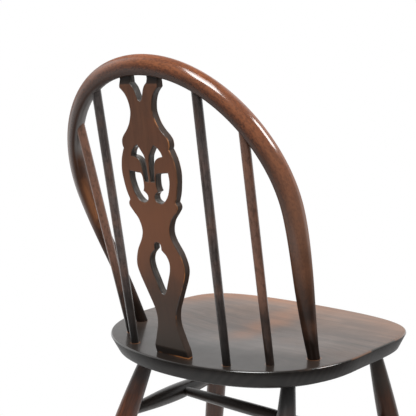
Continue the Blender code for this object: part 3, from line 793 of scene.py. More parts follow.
@dataclass
class SeatPlank:
    """The saddled plank, set out from the middle of the line between the bow's feet."""

    origin: Triple = (0.0, 0.03357, 0.420)
    half_width: float = 0.2272
    rear: float = 0.1346
    front: float = 0.2546
    widest: float = 0.0527
    rear_spread: float = 0.1213
    side_rear_run: float = 0.1306
    side_front_run: float = 0.1467
    front_spread: float = 0.262
    thickness: float = 0.034
    slope: float = math.radians(2.4)
    level_point: float = 0.055
    arris: float = 0.0032
    edge_depth: float = 0.0273
    edge_tuck: float = 0.0123
    bevel_width: float = 0.028
    saddle_depth: float = 0.008
    saddle_centre: float = -0.075
    saddle_half_width: float = 0.190
    saddle_half_length: float = 0.140
    pommel_share: float = 0.45
    pommel_width: float = 0.040
    ease: float = 0.0015
    ease_steps: int = 4
    quarter_steps: int = 56
    top_rings: int = 44
    arris_steps: int = 8
    under_rings: int = 10
    crease: float = math.radians(60)

    def place(self) -> Matrix:
        """The plank's frame on the chair, sloping down to the rear."""
        return leaning(Vector(self.origin) + Vector((0, self.level_point, 0)), self.slope)

    def on_top(self, x: float, y: float, depth: float = 0.0) -> Vector:
        """The chair point at x, y of the outline's plane, a depth below the top."""
        return self.place() @ Vector((x, y - self.level_point, -depth))

    def outline(self) -> np.ndarray:
        """Draws the plank's outline.

        Returns:
            A closed loop, from the rear middle round by +X.
        """
        rear, side, front = (0.0, self.rear), (self.half_width, -self.widest), (0.0, -self.front)
        back = bezier((rear, (self.rear_spread, self.rear),
                       (self.half_width, self.side_rear_run - self.widest), side), self.quarter_steps)
        fore = bezier((side, (self.half_width, -self.side_front_run - self.widest),
                       (self.front_spread, -self.front), front), self.quarter_steps)
        half = np.vstack([back, fore, [front]])
        return np.vstack([half, mirrored(half[1:-1])])

    def half_width_at(self, y: float) -> float:
        """The plank's half width at y of the outline's plane."""
        half = self.outline()[:2 * self.quarter_steps + 1]
        return float(np.interp(-y, -half[:, 1], half[:, 0]))

    @staticmethod
    def inset(loop: np.ndarray, distance: float) -> np.ndarray:
        """Draws an outline in along its normals.

        Args:
            loop: the outline.
            distance: how far.

        Returns:
            The smaller outline.
        """
        along = np.roll(loop, -1, axis=0) - np.roll(loop, 1, axis=0)
        along /= np.linalg.norm(along, axis=1)[:, None]
        return loop + distance * np.column_stack([along[:, 1], -along[:, 0]])

    def saddle(self, points: np.ndarray) -> np.ndarray:
        """Hollows the top, with a low pommel in front.

        Args:
            points: points of the outline's plane.

        Returns:
            The top's height at each.
        """
        x, y = points[:, 0], points[:, 1]
        reach = (x / self.saddle_half_width) ** 2 + ((y - self.saddle_centre) / self.saddle_half_length) ** 2
        forward = np.clip((self.saddle_centre - y) / self.saddle_half_length, 0, 1)
        pommel = self.pommel_share * np.sin(forward * QUARTER_TURN) * np.exp(-(x / self.pommel_width) ** 2)
        return -self.saddle_depth * np.clip(1 - reach, 0, 1) ** 2 * (1 - pommel)

    def edge_profile(self) -> list[np.ndarray]:
        """Draws the edge from the upper arris down to the underside.

        Returns:
            Points as (inset, depth).
        """
        angles = np.linspace(0, QUARTER_TURN, self.arris_steps + 1)[1:]
        arris = [self.arris * np.array((1 - math.sin(a), 1 - math.cos(a))) for a in angles]
        side, foot = (0.0, self.arris), (self.edge_tuck, self.edge_depth)
        under, inner = (self.bevel_width, self.thickness), (2 * self.bevel_width, self.thickness)
        lower = eased((side, foot, under), self.ease, self.ease_steps)
        return arris + lower + eased((foot, under, inner), self.ease, self.ease_steps)

    def build(self, finish: LacqueredWood) -> None:
        """Makes the plank from rings, from the middle of its top round its edge to the middle below.

        Args:
            finish: its wood.
        """
        loop = self.outline()
        middle = np.array((0.0, self.saddle_centre))
        under_middle = np.append(middle, -self.thickness)
        shares = np.linspace(0, 1, self.top_rings + 1)[1:]
        flats = [middle + share * (self.inset(loop, self.arris) - middle) for share in shares]
        rings = [np.column_stack([flat, self.saddle(flat)]) for flat in flats]
        for inset, depth in self.edge_profile():
            rings.append(np.column_stack([self.inset(loop, inset), np.full(len(loop), -depth)]))
        last = rings[-1]
        for share in np.linspace(1, 0, self.under_rings + 1)[1:-1]:
            rings.append(under_middle + share * (last - under_middle))
        points, faces = skin(rings)
        count, total = len(loop), len(points)
        points = np.vstack([points, np.append(middle, self.saddle(middle[None])), under_middle])
        for i, j in around(count):
            faces += [(i, total, j), (total - count + j, total + 1, total - count + i)]
        points[:, 1] -= self.level_point
        rim = np.ones(len(points))
        rim[:len(shares) * count] = np.repeat(shares, count)
        rim[total] = 0.0
        mesh = new_mesh("seat_plank", placed(points, self.place()), faces)
        piece = Piece("seat_plank", "seat", "seat_wood", self.crease)
        piece.show(mesh, finish.material(), points[:, [1, 2, 0]], rim=rim)


# Bow and its wedges


@dataclass
class Bow:
    """The bent bow, set out in its own leaning plane."""

    seat: SeatPlank
    rake: float = math.radians(22.3)
    height: float = 0.4615
    side_inset: float = 0.0158
    widest: float = 0.253
    crown_spread: float = 0.125
    shoulder_run: float = 0.104
    waist_run: float = 0.062
    foot_run: float = 0.085
    foot_lean: float = math.radians(4.7)
    foot_inset: float = 0.0409
    foot_radius: float = 0.0093
    body_radius: float = 0.0137
    depth_ratio: float = 0.94
    straight: float = 0.012
    taper: float = 0.235
    round_run: float = 0.116
    inner_rear_fullness: float = 5.0
    outer_rear_fullness: float = 1.75
    outer_front_fullness: float = 3.1
    inner_front_fullness: float = 1.85
    rubbed_angle: float = math.radians(155)
    rubbed_spread: float = math.radians(34)
    rubbed_run: Pair = (0.10, 0.34)
    tenon_proud: float = 0.0004
    wedge_proud: float = 0.0008
    wedge_thick: float = 0.0030
    wedge_thin: float = 0.0010
    wedge_length: float = 0.018
    wedge_margin: float = 0.0012
    run_steps: int = 120
    section_steps: int = 96
    trace_steps: int = 960
    ease_passes: int = 16
    crease: float = math.radians(50)

    def place(self) -> Matrix:
        """The bow's plane: X across, Y to the rear, Z up the plane."""
        return leaning(self.seat.on_top(0, 0), self.rake)

    def foot(self) -> float:
        """The bow's half spacing at the seat."""
        return self.seat.half_width_at(0.0) - self.foot_inset

    def lean(self, side: int = 1) -> np.ndarray:
        """The direction up a foot, in the bow's frame."""
        return np.array((side * math.sin(self.foot_lean), 0.0, math.cos(self.foot_lean)))

    def half_line(self) -> np.ndarray:
        """Draws the centre line from the +X foot to the crown.

        Returns:
            Points in the bow's plane.
        """
        foot = np.array((self.foot(), 0.0))
        side = self.seat.half_width - self.side_inset
        waist, crown = (side, self.widest), (0.0, self.height)
        lower = bezier((foot, foot + self.foot_run * self.lean()[[0, 2]],
                        (side, self.widest - self.waist_run), waist), self.run_steps)
        upper = bezier((waist, (side, self.widest + self.shoulder_run),
                        (self.crown_spread, self.height), crown), self.run_steps)
        return np.vstack([lower, upper, [crown]])

    def section(self, along: float) -> np.ndarray:
        """Draws the bow's section, round at the foot and flatter inside above it.

        Args:
            along: the distance up from the seat.

        Returns:
            (outward, rearward) points evenly round it.
        """
        blend, grown = np.clip((along - self.straight) / np.array((self.round_run, self.taper)), 0, 1)
        radius = self.foot_radius + (self.body_radius - self.foot_radius) * (1 - (1 - grown) ** 2)
        angles = FULL_TURN * (np.arange(self.trace_steps) + 0.5) / self.trace_steps
        c, s = np.cos(angles), np.sin(angles)
        rear = np.where(c >= 0, self.outer_rear_fullness, self.inner_rear_fullness)
        fore = np.where(c >= 0, self.outer_front_fullness, self.inner_front_fullness)
        fullness = np.where(s >= 0, rear, fore)
        full_c = np.sign(c) * np.abs(c) ** (2 / fullness)
        full_s = np.sign(s) * np.abs(s) ** (2 / fullness) * self.depth_ratio
        return self.eased_ring(radius * np.column_stack([c + blend * (full_c - c), s + blend * (full_s - s)]))

    def eased_ring(self, loop: np.ndarray) -> np.ndarray:
        """Spaces a closed section's points evenly and eases its ridges.

        Args:
            loop: the section.

        Returns:
            The new section, of the same width and depth.
        """
        closed = np.vstack([loop, loop[:1]])
        run = run_lengths(closed)
        spots = np.arange(self.section_steps) * run[-1] / self.section_steps
        ring = np.column_stack([np.interp(spots, run, closed[:, axis]) for axis in range(2)])
        for _ in range(self.ease_passes):
            ring = (np.roll(ring, 1, axis=0) + 2 * ring + np.roll(ring, -1, axis=0)) / 4
        low, high = loop.min(0), loop.max(0)
        return low + (ring - ring.min(0)) * (high - low) / (ring.max(0) - ring.min(0))

    def rubbed_share(self, section: np.ndarray, along: float) -> np.ndarray:
        """How near each point of a section lies to the rubbed inner side.

        Args:
            section: the section.
            along: its distance up from the seat.

        Returns:
            Shares from 0 to 1.
        """
        angles = np.arctan2(section[:, 1], section[:, 0]) % FULL_TURN
        near = np.exp(-((angles - self.rubbed_angle) / self.rubbed_spread) ** 2)
        start, end = self.rubbed_run
        rise, fall = np.clip(np.array((along - start, end - along)) / self.round_run, 0, 1)
        return near * rise * fall

    def to_underside(self, points: np.ndarray, axis: np.ndarray, proud: float) -> np.ndarray:
        """Slides points of the bow's frame onto the plank's underside.

        Args:
            points: the points.
            axis: the direction to slide along.
            proud: how far past the underside they end.

        Returns:
            The points in their new places.
        """
        back = self.place().inverted()
        point = np.array(back @ self.seat.on_top(0, 0, self.seat.thickness + proud))
        normal = np.array(back.to_3x3() @ (self.seat.place().to_3x3() @ Vector((0, 0, 1))))
        return points + axis * (((point - points) @ normal) / (axis @ normal))[:, None]

    def build(self, finish: LacqueredWood) -> None:
        """Makes the bow from one tenon end round the crown to the other.

        Args:
            finish: its wood.
        """
        line = self.half_line()
        lengths = run_lengths(line)
        along = np.gradient(line, axis=0)
        along[0], along[-1] = self.lean()[[0, 2]], (-1.0, 0.0)
        along /= np.linalg.norm(along, axis=1)[:, None]
        rings, straightened, rubbed, inward = [], [], [], []
        for point, run, length in zip(line, along, lengths):
            section = self.section(length)
            centre, out = np.array((point[0], 0.0, point[1])), np.array((run[1], 0.0, -run[0]))
            rings.append(centre + section[:, :1] * out + section[:, 1:] * np.array((0.0, 1.0, 0.0)))
            straightened.append(np.column_stack([section, np.full(len(section), length - lengths[-1])]))
            rubbed.append(self.rubbed_share(section, length))
            inward.append(-section[:, 0] / np.linalg.norm(section, axis=1))
        rings.insert(0, self.to_underside(rings[0], self.lean(), self.tenon_proud))
        straightened.insert(0, straightened[0] - np.array((0.0, 0.0, self.seat.thickness)))
        rubbed.insert(0, rubbed[0])
        inward.insert(0, inward[0])
        other = [ring * np.array((-1.0, 1.0, 1.0)) for ring in rings[-2::-1]]
        far = [places * np.array((1.0, 1.0, -1.0)) for places in straightened[-2::-1]]
        points, faces = skin(rings + other)
        count, total = self.section_steps, len(points)
        faces += [tuple(range(count)), tuple(range(total - count, total))]
        mesh = new_mesh("bow_hoop", placed(points, self.place()), faces)
        Piece("bow_hoop", "bow", "bow_wood", self.crease).show(
            mesh, finish.material(), np.vstack(straightened + far),
            rubbed=np.concatenate(rubbed + [0 * share for share in rubbed[:-1]]),
            inward=np.concatenate(inward + inward[-2::-1]))

    def build_wedges(self, finish: LacqueredWood) -> None:
        """Makes the wedges in the bow's tenons.

        Args:
            finish: their wood.
        """
        wood = finish.material()
        reach = self.foot_radius - self.wedge_margin
        for hand in Hand:
            axis = self.lean(hand.value)
            across = np.array((axis[2], 0.0, -axis[0]))
            end = self.to_underside(np.array([(hand.value * self.foot(), 0.0, 0.0)]), axis, 0.0)[0]
            butt, tip = (
                np.array([at + u * thick / 2 * across + np.array((0.0, v * reach, 0.0))
                          for u, v in ((-1, -1), (1, -1), (1, 1), (-1, 1))])
                for at, thick in ((end, self.wedge_thick), (end + self.wedge_length * axis, self.wedge_thin)))
            points, faces = skin([self.to_underside(butt, axis, self.wedge_proud), tip])
            faces += [(0, 1, 2, 3), (4, 5, 6, 7)]
            name = "wedge_" + hand.name.lower()
            mesh = new_mesh(name, placed(points, self.place()), faces)
            Piece(name, "bow_" + name, "wedge_wood").show(mesh, wood, points)


# Splat


@dataclass
class Splat:
    """The fret-sawn splat, drawn on squares of a grid for a set height and fitted between seat and bow."""

    seat: SeatPlank
    bow: Bow
    thickness: float = 0.0127
    inset: float = 0.0262
    setback: float = 0.0020
    grid: float = 0.001
    drawn: float = 0.4222
    sill: float = 0.0028
    seat_depth: float = 0.018
    bow_depth: float = 0.010
    end_bevel: float = 0.0030
    foot_bevel_run: float = 0.0130
    horn_bevel_run: float = 0.0080
    bevel_stand: float = 0.0030
    foot_half_width: float = 0.0336
    foot_ease: float = 0.0008
    foot_ease_run: float = 0.0100
    horn_outer: float = 0.0385
    horn_inner: float = 0.0158
    horn_shoulder: float = 0.4040
    horn_throat: float = 0.4110
    arris: float = 0.0020
    arris_steps: int = 4
    steps: int = 7
    weld: float = 2e-6
    crease: float = math.radians(50)

    def ends(self) -> tuple[Vector, Vector]:
        """The foot on the seat top and the bow's inner face above it."""
        foot = self.seat.on_top(0, self.seat.rear - self.inset)
        return foot, self.bow.place() @ Vector((0, self.setback, self.bow.height - self.bow.body_radius))

    def place(self) -> Matrix:
        """The splat's frame: X across, Y to the rear, Z up from the seat to the crown."""
        foot, crown = self.ends()
        return leaning(foot, math.atan2(crown.y - foot.y, crown.z - foot.z))

    def height(self) -> float:
        """The standing height between the seat and the bow."""
        foot, crown = self.ends()
        return (crown - foot).length

    def on_grid(self, *squares: Pair) -> list[Pair]:
        """Points of the drawing, given in grid squares across and up."""
        return [(self.grid * across, self.grid * up) for across, up in squares]

    def fitted(self, points: np.ndarray) -> np.ndarray:
        """Drawn points set to the height that the chair leaves."""
        return points * np.array((1.0, (self.height() - self.sill) / self.drawn)) + np.array((0.0, self.sill))

    def outline(self) -> np.ndarray:
        """Draws the sawn outline.

        Returns:
            A closed loop of (across, up).
        """
        foot = [(self.foot_half_width, 0.0), (self.foot_half_width - self.foot_ease, self.foot_ease_run)]
        lower = foot + self.on_grid((26.6, 28.0), (20.3, 50.0), (21.9, 70.0), (33.6, 97.0), (45.1, 122.5),
                                    (49.1, 140.0), (43.6, 160.5), (32.0, 180.0), (28.4, 194.0), (33.0, 209.5),
                                    (42.8, 221.5), (48.6, 229.0), (49.0, 234.5), (46.4, 238.5))
        body = self.on_grid((46.2, 239.0), (51.7, 254.0), (55.3, 274.0), (55.5, 286.0), (52.9, 300.0),
                            (48.1, 312.0), (45.8, 316.0))
        upper = self.on_grid((46.0, 316.5), (47.5, 321.0), (46.9, 328.5), (42.8, 335.0), (34.6, 343.5),
                             (27.6, 353.5), (22.8, 367.0), (22.6, 376.0), (24.8, 386.0), (29.8, 395.5))
        upper.append((self.horn_outer, self.horn_shoulder))
        notch = [(self.horn_inner, self.horn_throat), *self.on_grid((9.4, 403.0), (4.1, 389.0), (0.0, 385.0))]
        sides = np.vstack([smooth_run(run, self.steps) for run in (lower, body, upper)])
        top = self.height() + self.bow_depth
        half = np.vstack([[(self.foot_half_width, -self.seat_depth)], self.fitted(sides),
                          [(self.horn_outer, top), (self.horn_inner, top)],
                          self.fitted(smooth_run(notch, self.steps))])
        return np.vstack([half, mirrored(half[:-1])])

    def openings(self) -> list[np.ndarray]:
        """Draws the fretted openings: above and below the side petals, and the lower lancet.

        Returns:
            Closed loops of (across, up).
        """
        petal = self.on_grid((16.5, 320.8), (9.5, 311.5), (5.0, 303.5), (3.1, 290.0), (2.5, 268.0))
        curl = self.on_grid((9.8, 268.0), (11.0, 280.0), (12.4, 290.5), (15.5, 299.0), (22.0, 303.5),
                            (30.8, 305.5))
        shoulder = self.on_grid((30.8, 305.5), (28.4, 311.5), (22.2, 318.0), (16.5, 320.8))
        rib = self.on_grid((38.4, 281.8), (38.9, 268.0), (33.6, 250.5), (24.8, 239.5), (16.5, 236.4),
                           (8.8, 239.8), (7.4, 245.5), (10.5, 250.0), (15.5, 253.3))
        base = self.on_grid((15.5, 253.3), (13.3, 261.0), (13.7, 273.0), (16.5, 279.2), (24.5, 280.3),
                            (31.0, 281.3), (38.4, 281.8))
        head = self.on_grid((0.0, 176.0), (4.5, 174.7), (6.2, 171.0), (6.4, 165.0))
        leaf = self.on_grid((6.4, 165.0), (9.8, 161.8), (15.3, 156.5), (19.3, 146.5), (18.1, 134.0),
                            (11.9, 117.5), (5.0, 100.5), (0.0, 96.0))
        runs = [smooth_run(run, self.steps) for run in (petal, curl, shoulder, rib, base, head, leaf)]
        above = np.vstack([runs[0], runs[1], runs[2][1:-1]])
        below = np.vstack([runs[3], runs[4][1:-1]])
        lancet = np.vstack([runs[5], runs[6][1:]])
        whole = np.vstack([lancet, mirrored(lancet[1:-1])])
        return [self.fitted(loop) for loop in (above, mirrored(above), below, mirrored(below), whole)]

    def bevel_heights(self) -> tuple[float, float, float, float]:
        """Finds where the rear bevels start and end.

        Returns:
            The foot's start and end, then the horns'.
        """
        line = self.bow.half_line()[::-1]
        line = line[line[:, 1] > self.bow.widest]
        drop = self.bow.height - float(np.interp(self.horn_outer, line[:, 0], line[:, 1]))
        foot_end, horn_end = self.bevel_stand / 2, self.height() - drop - self.bevel_stand
        return foot_end + self.foot_bevel_run, foot_end, horn_end - self.horn_bevel_run, horn_end

    def bevel_share(self, up: np.ndarray) -> np.ndarray:
        """How far the rear is bevelled.

        Args:
            up: heights above the seat.

        Returns:
            A share from 0 to 1 at each height.
        """
        foot_start, foot_end, horn_start, horn_end = self.bevel_heights()
        foot = (foot_start - up) / (foot_start - foot_end)
        horn = (up - horn_start) / (horn_end - horn_start)
        return np.clip(np.maximum(foot, horn), 0, 1)

    def board(self) -> bpy.types.Mesh:
        """Fills the drawing as a pierced board with rounded arrises.

        Returns:
            The board, lying in its drawing plane.
        """
        curve = bpy.data.curves.new("splat_drawing", "CURVE")
        curve.dimensions, curve.fill_mode = "2D", "BOTH"
        curve.extrude = self.thickness / 2 - self.arris
        curve.bevel_depth, curve.bevel_resolution = self.arris, self.arris_steps
        curve.offset = -self.arris
        for loop in [self.outline()] + self.openings():
            spline = curve.splines.new("POLY")
            spline.points.add(len(loop) - 1)
            flat = np.column_stack([loop, np.zeros(len(loop)), np.ones(len(loop))])
            spline.points.foreach_set("co", flat.ravel())
            spline.use_cyclic_u = True
        return baked(new_object("splat_drawing", curve))

    def build(self, finish: LacqueredWood) -> None:
        """Makes the splat.

        Args:
            finish: its wood.
        """
        mesh = self.board()
        mesh.transform(Matrix.Rotation(QUARTER_TURN, 4, "X"))
        work = bmesh.new()
        work.from_mesh(mesh)
        bmesh.ops.remove_doubles(work, verts=work.verts, dist=self.weld)
        for up in self.bevel_heights():
            bmesh.ops.bisect_plane(work, geom=work.verts[:] + work.edges[:] + work.faces[:],
                                   plane_co=(0, 0, up), plane_no=(0, 0, 1))
        work.to_mesh(mesh)
        work.free()
        points = vectors(mesh.vertices)
        bevel = np.where(points[:, 1] > 0, self.bevel_share(points[:, 2]), 0.0)
        wall = np.clip((self.thickness / 2 - np.abs(points[:, 1])) / self.arris, 0, 1)
        points[:, 1] -= bevel * self.end_bevel
        mesh.vertices.foreach_set("co", placed(points, self.place()).ravel())
        mesh.update()
        piece = Piece("splat_board", "splat", "splat_wood", self.crease, flat=True)
        piece.show(mesh, finish.material(), points, bevel=bevel, wall=wall)


# Turned pieces


@dataclass(frozen=True)
class SpindleShape:
    """A spindle's turned profile."""

    foot_radius: float = 0.0061
    full_radius: float = 0.0071
    full_at: float = 0.7

    @staticmethod
    def radius(size: SimpleNamespace, along: Value, length: Value) -> Value:
        """The radius at a distance along the axis."""
        rise = (along / (length * size.full_at)).least(1.0) * QUARTER_TURN
        return rise.sine().span(size.foot_radius, size.full_radius)


@dataclass(frozen=True)
class LegShape:
    """A leg's turned profile, from its tenon to its foot, with a spare end for the cut at the floor."""

    tenon_depth: float = 0.021
    tenon_radius: float = 0.0110
    neck: float = 0.012
    swell_radius: float = 0.0177
    swell_at: float = 0.150
    foot_radius: float = 0.0122
    spare: float = 0.008

    @staticmethod
    def radius(size: SimpleNamespace, along: Value, length: Value) -> Value:
        """The radius at a distance along the axis.

        Args:
            size: the profile's sizes, as the tree's inputs.
            along: the distance.
            length: the axis's length.

        Returns:
            The radius.
        """
        below = along - size.tenon_depth
        run = length - size.spare - size.tenon_depth - size.swell_at
        rise = ((below - size.neck) / (size.swell_at - size.neck)).most(0.0).least(1.0) * QUARTER_TURN
        fall = ((below - size.swell_at) / run).most(0.0).least(1.0) * QUARTER_TURN
        upper = rise.sine().span(size.tenon_radius, size.swell_radius)
        return upper.least(fall.cosine().span(size.foot_radius, size.swell_radius))


@dataclass(frozen=True)
class StretcherShape:
    """A stretcher's turned profile: slim ends and a swell."""

    end_radius: float
    swell_radius: float
    slimness: float = 1.25

    @staticmethod
    def radius(size: SimpleNamespace, along: Value, length: Value) -> Value:
        """The radius at a distance along the axis."""
        share = (along / length * HALF_TURN).sine().most(0.0) ** size.slimness
        return share.span(size.end_radius, size.swell_radius)


TurnedShape = SpindleShape | LegShape | StretcherShape


@dataclass
class Lathe:
    """A node tree that turns pieces of one kind of profile, with the profile's sizes as its inputs.

    Rings and sides are steps along and round a piece. The shift sets each piece's grain apart from the last.
    """

    name: str
    kind: type[TurnedShape]
    slot: str
    finish: bpy.types.Material
    rings: int
    sides: int
    shift: float
    trimmed: bool = False
    turned: int = 0

    def __post_init__(self) -> None:
        """Builds the tree, which turns the profile about its axis."""
        self.tree = bpy.data.node_groups.new(self.name, "GeometryNodeTree")
        sockets = {"start": "Vector", "end": "Vector", "rings": "Int", "sides": "Int", "finish": "Material"}
        sockets.update({size.name: "Float" for size in fields(self.kind)})
        made = {label: self.tree.interface.new_socket(label, in_out="INPUT", socket_type="NodeSocket" + kind)
                for label, kind in sockets.items()}
        self.keys = {label: socket.identifier for label, socket in made.items()}
        self.tree.interface.new_socket("turned", in_out="OUTPUT", socket_type="NodeSocketGeometry")
        nodes = NodeBuilder(self.tree)
        asked = SimpleNamespace(**{label: nodes.node("NodeGroupInput", output=label) for label in sockets})
        axis = nodes.node("GeometryNodeCurvePrimitiveLine", {}, {"Start": asked.start, "End": asked.end})
        line = nodes.node("GeometryNodeResampleCurve", {}, {"Curve": axis, "Count": asked.rings})
        along = nodes.node("GeometryNodeSplineParameter", {}, {}, "Length")
        radius = self.kind.radius(asked, along, nodes.distance(asked.start, asked.end))
        circle = nodes.node("GeometryNodeCurvePrimitiveCircle", {},
                            {"Resolution": asked.sides, "Radius": 1.0})
        body = nodes.node("GeometryNodeCurveToMesh", {}, {
            "Curve": line, "Profile Curve": circle, "Scale": radius, "Fill Caps": True})
        if self.trimmed:
            body = self._trim(nodes, body, asked)
        whole = nodes.node("GeometryNodeRealizeInstances", {}, {0: body})
        dressed = nodes.node("GeometryNodeSetMaterial", {}, {"Geometry": whole, "Material": asked.finish})
        nodes.node("NodeGroupOutput", {}, {0: dressed})

    @staticmethod
    def _trim(nodes: NodeBuilder, body: Value, asked: SimpleNamespace) -> Value:
        """Slides what reaches below the floor up along the axis, so that the foot stands flat.

        Args:
            nodes: the tree.
            body: the turned piece.
            asked: the tree's inputs.

        Returns:
            The trimmed piece.
        """
        run = nodes.vector("SUBTRACT", asked.end, asked.start)
        height = nodes.parts(nodes.node("GeometryNodeInputPosition"))[2]
        slide = nodes.node("ShaderNodeVectorMath", {"operation": "SCALE"},
                           {"Vector": run, "Scale": 0.0 - height / nodes.parts(run)[2]})
        return nodes.node("GeometryNodeSetPosition", {}, {
            "Geometry": body, "Selection": height.below(0.0), "Offset": slide})

    def turn(self, name: str, node: str, start: Vector, end: Vector, shape: TurnedShape) -> None:
        """Turns one piece, makes it a plain mesh and shows it.

        Args:
            name: the piece's name.
            node: the solid that it stands for.
            start: where its axis starts.
            end: where its axis ends.
            shape: its profile.
        """
        blank = new_object(name + "_blank", bpy.data.meshes.new(name + "_blank"))
        lathe = blank.modifiers.new("lathe", "NODES")
        lathe.node_group = self.tree
        values = {"start": tuple(start), "end": tuple(end), "rings": self.rings, "sides": self.sides,
                  "finish": self.finish, **asdict(shape)}
        for label, value in values.items():
            lathe[self.keys[label]] = value
        mesh = baked(blank)
        mesh.name = name
        turn = np.array((end - start).to_track_quat("Z", "Y").to_matrix())
        grain = (vectors(mesh.vertices) - np.array(start)) @ turn
        grain[:, 2] += self.shift * self.turned
        self.turned += 1
        Piece(name, node, self.slot).show(mesh, self.finish, grain)


def axis_of(node: str, ring_depth: float = 0.003) -> list[Vector]:
    """Finds the axis of a turned solid from the rings at its two ends.

    Args:
        node: the solid's name.
        ring_depth: how far in from an end its ring reaches.

    Returns:
        The middle of each end.
    """
    points = vectors(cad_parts[node].data.vertices)
    from_middle = points - points.mean(0)
    along = from_middle @ np.linalg.svd(from_middle, full_matrices=False)[2][0]
    rings = points[along < along.min() + ring_depth], points[along > along.max() - ring_depth]
    return [Vector((ring.min(0) + ring.max(0)) / 2) for ring in rings]


def upright_axis(node: str) -> list[Vector]:
    """The lower and the upper end of a turned solid's axis."""
    return sorted(axis_of(node), key=lambda end: end.z)


@dataclass
class SpindleSet:
    """The two pairs of spindles between the seat and the bow."""

    shape: SpindleShape = SpindleShape()
    names: tuple[str, ...] = ("inner_left", "inner_right", "outer_left", "outer_right")
    seat_depth: float = 0.020
    rings: int = 40
    sides: int = 32
    shift: float = 0.61

    def feet(self) -> list[Vector]:
        """The points where the spindles' axes leave the seat."""
        axes = [upright_axis("spindle_" + name) for name in self.names]
        return [low + (high - low).normalized() * self.seat_depth for low, high in axes]

    def build(self, finish: LacqueredWood) -> None:
        """Makes the spindles, each from its foot to its top.

        Args:
            finish: their wood.
        """
        lathe = Lathe("spindle_lathe", SpindleShape, "spindle_wood", finish.material(),
                      self.rings, self.sides, self.shift)
        for name in self.names:
            node = "spindle_" + name
            lathe.turn("spindle_stick_" + name, node, *upright_axis(node), self.shape)


@dataclass
class Undercarriage:
    """The four legs and the H of stretchers."""

    leg_shape: LegShape = LegShape()
    side_shape: StretcherShape = StretcherShape(end_radius=0.0080, swell_radius=0.0149)
    cross_shape: StretcherShape = StretcherShape(end_radius=0.0078, swell_radius=0.0106)
    sole_height: float = 1e-5
    rings: int = 72
    sides: int = 40
    leg_shift: float = 0.53
    stretcher_shift: float = 0.47

    def leg_axis(self, node: str) -> tuple[Vector, Vector]:
        """Finds a leg's axis, run on past the floor by its spare end.

        Args:
            node: the leg's solid.

        Returns:
            The tenon's end and the lower end.
        """
        points = vectors(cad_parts[node].data.vertices)
        sole = points[points[:, 2] < self.sole_height]
        foot, tenon = Vector((sole.min(0) + sole.max(0)) / 2), upright_axis(node)[1]
        return tenon, foot + (foot - tenon).normalized() * self.leg_shape.spare

    def build_legs(self, finish: LacqueredWood) -> None:
        """Makes the legs, cut level at the floor.

        Args:
            finish: their wood.
        """
        lathe = Lathe("leg_lathe", LegShape, "leg_wood", finish.material(), self.rings, self.sides,
                      self.leg_shift, trimmed=True)
        for row in Row:
            for hand in Hand:
                name = "%s_%s" % (row.value, hand.name.lower())
                lathe.turn("leg_post_" + name, "leg_" + name, *self.leg_axis("leg_" + name), self.leg_shape)

    def build_stretchers(self, finish: LacqueredWood) -> None:
        """Makes the two side stretchers and the cross stretcher.

        Args:
            finish: their wood.
        """
        lathe = Lathe("stretcher_lathe", StretcherShape, "leg_wood", finish.material(),
                      self.rings, self.sides, self.stretcher_shift)
        for name, shape in (("side_stretcher_left", self.side_shape),
                            ("side_stretcher_right", self.side_shape),
                            ("cross_stretcher", self.cross_shape)):
            lathe.turn(name.replace("stretcher", "rail"), name, *axis_of(name), shape)


# Studio


@dataclass(frozen=True)
class SoftBox:
    """One rectangular lamp that looks at the chair."""

    name: str
    position: Triple
    target: Triple
    width: float
    length: float
    power: float

    def build(self) -> None:
        """Hangs the lamp and turns it to its target."""
        lamp = bpy.data.lights.new(self.name, "AREA")
        lamp.shape = "RECTANGLE"
        lamp.size, lamp.size_y, lamp.energy = self.width, self.length, self.power
        item = new_object(self.name, lamp)
        item.location = self.position
        item.rotation_mode = "QUATERNION"
        item.rotation_quaternion = (Vector(self.target) - Vector(self.position)).to_track_quat("-Z", "Y")


@dataclass(frozen=True)
class PhotoCamera:
    """The photograph's viewpoint, with a square frame."""

    position: Triple = (-0.9534, 1.1289, 0.8075)
    azimuth: float = math.radians(221.803)
    elevation: float = math.radians(6.947)
    roll: float = math.radians(-0.416)
    field_of_view: float = math.radians(25.07)
    sensor_width: float = 36.0

    def build(self) -> None:
        """Sets the camera up and makes it the scene's own."""
        lens = bpy.data.cameras.new("photo_camera")
        lens.sensor_width = self.sensor_width
        lens.lens = self.sensor_width / 2 / math.tan(self.field_of_view / 2)
        item = new_object("photo_camera", lens)
        aim = Matrix.Rotation(self.azimuth, 4, "Z") @ Matrix.Rotation(QUARTER_TURN - self.elevation, 4, "X")
        item.matrix_world = Matrix.Translation(self.position) @ aim @ Matrix.Rotation(self.roll, 4, "Z")
        bpy.context.scene.camera = item


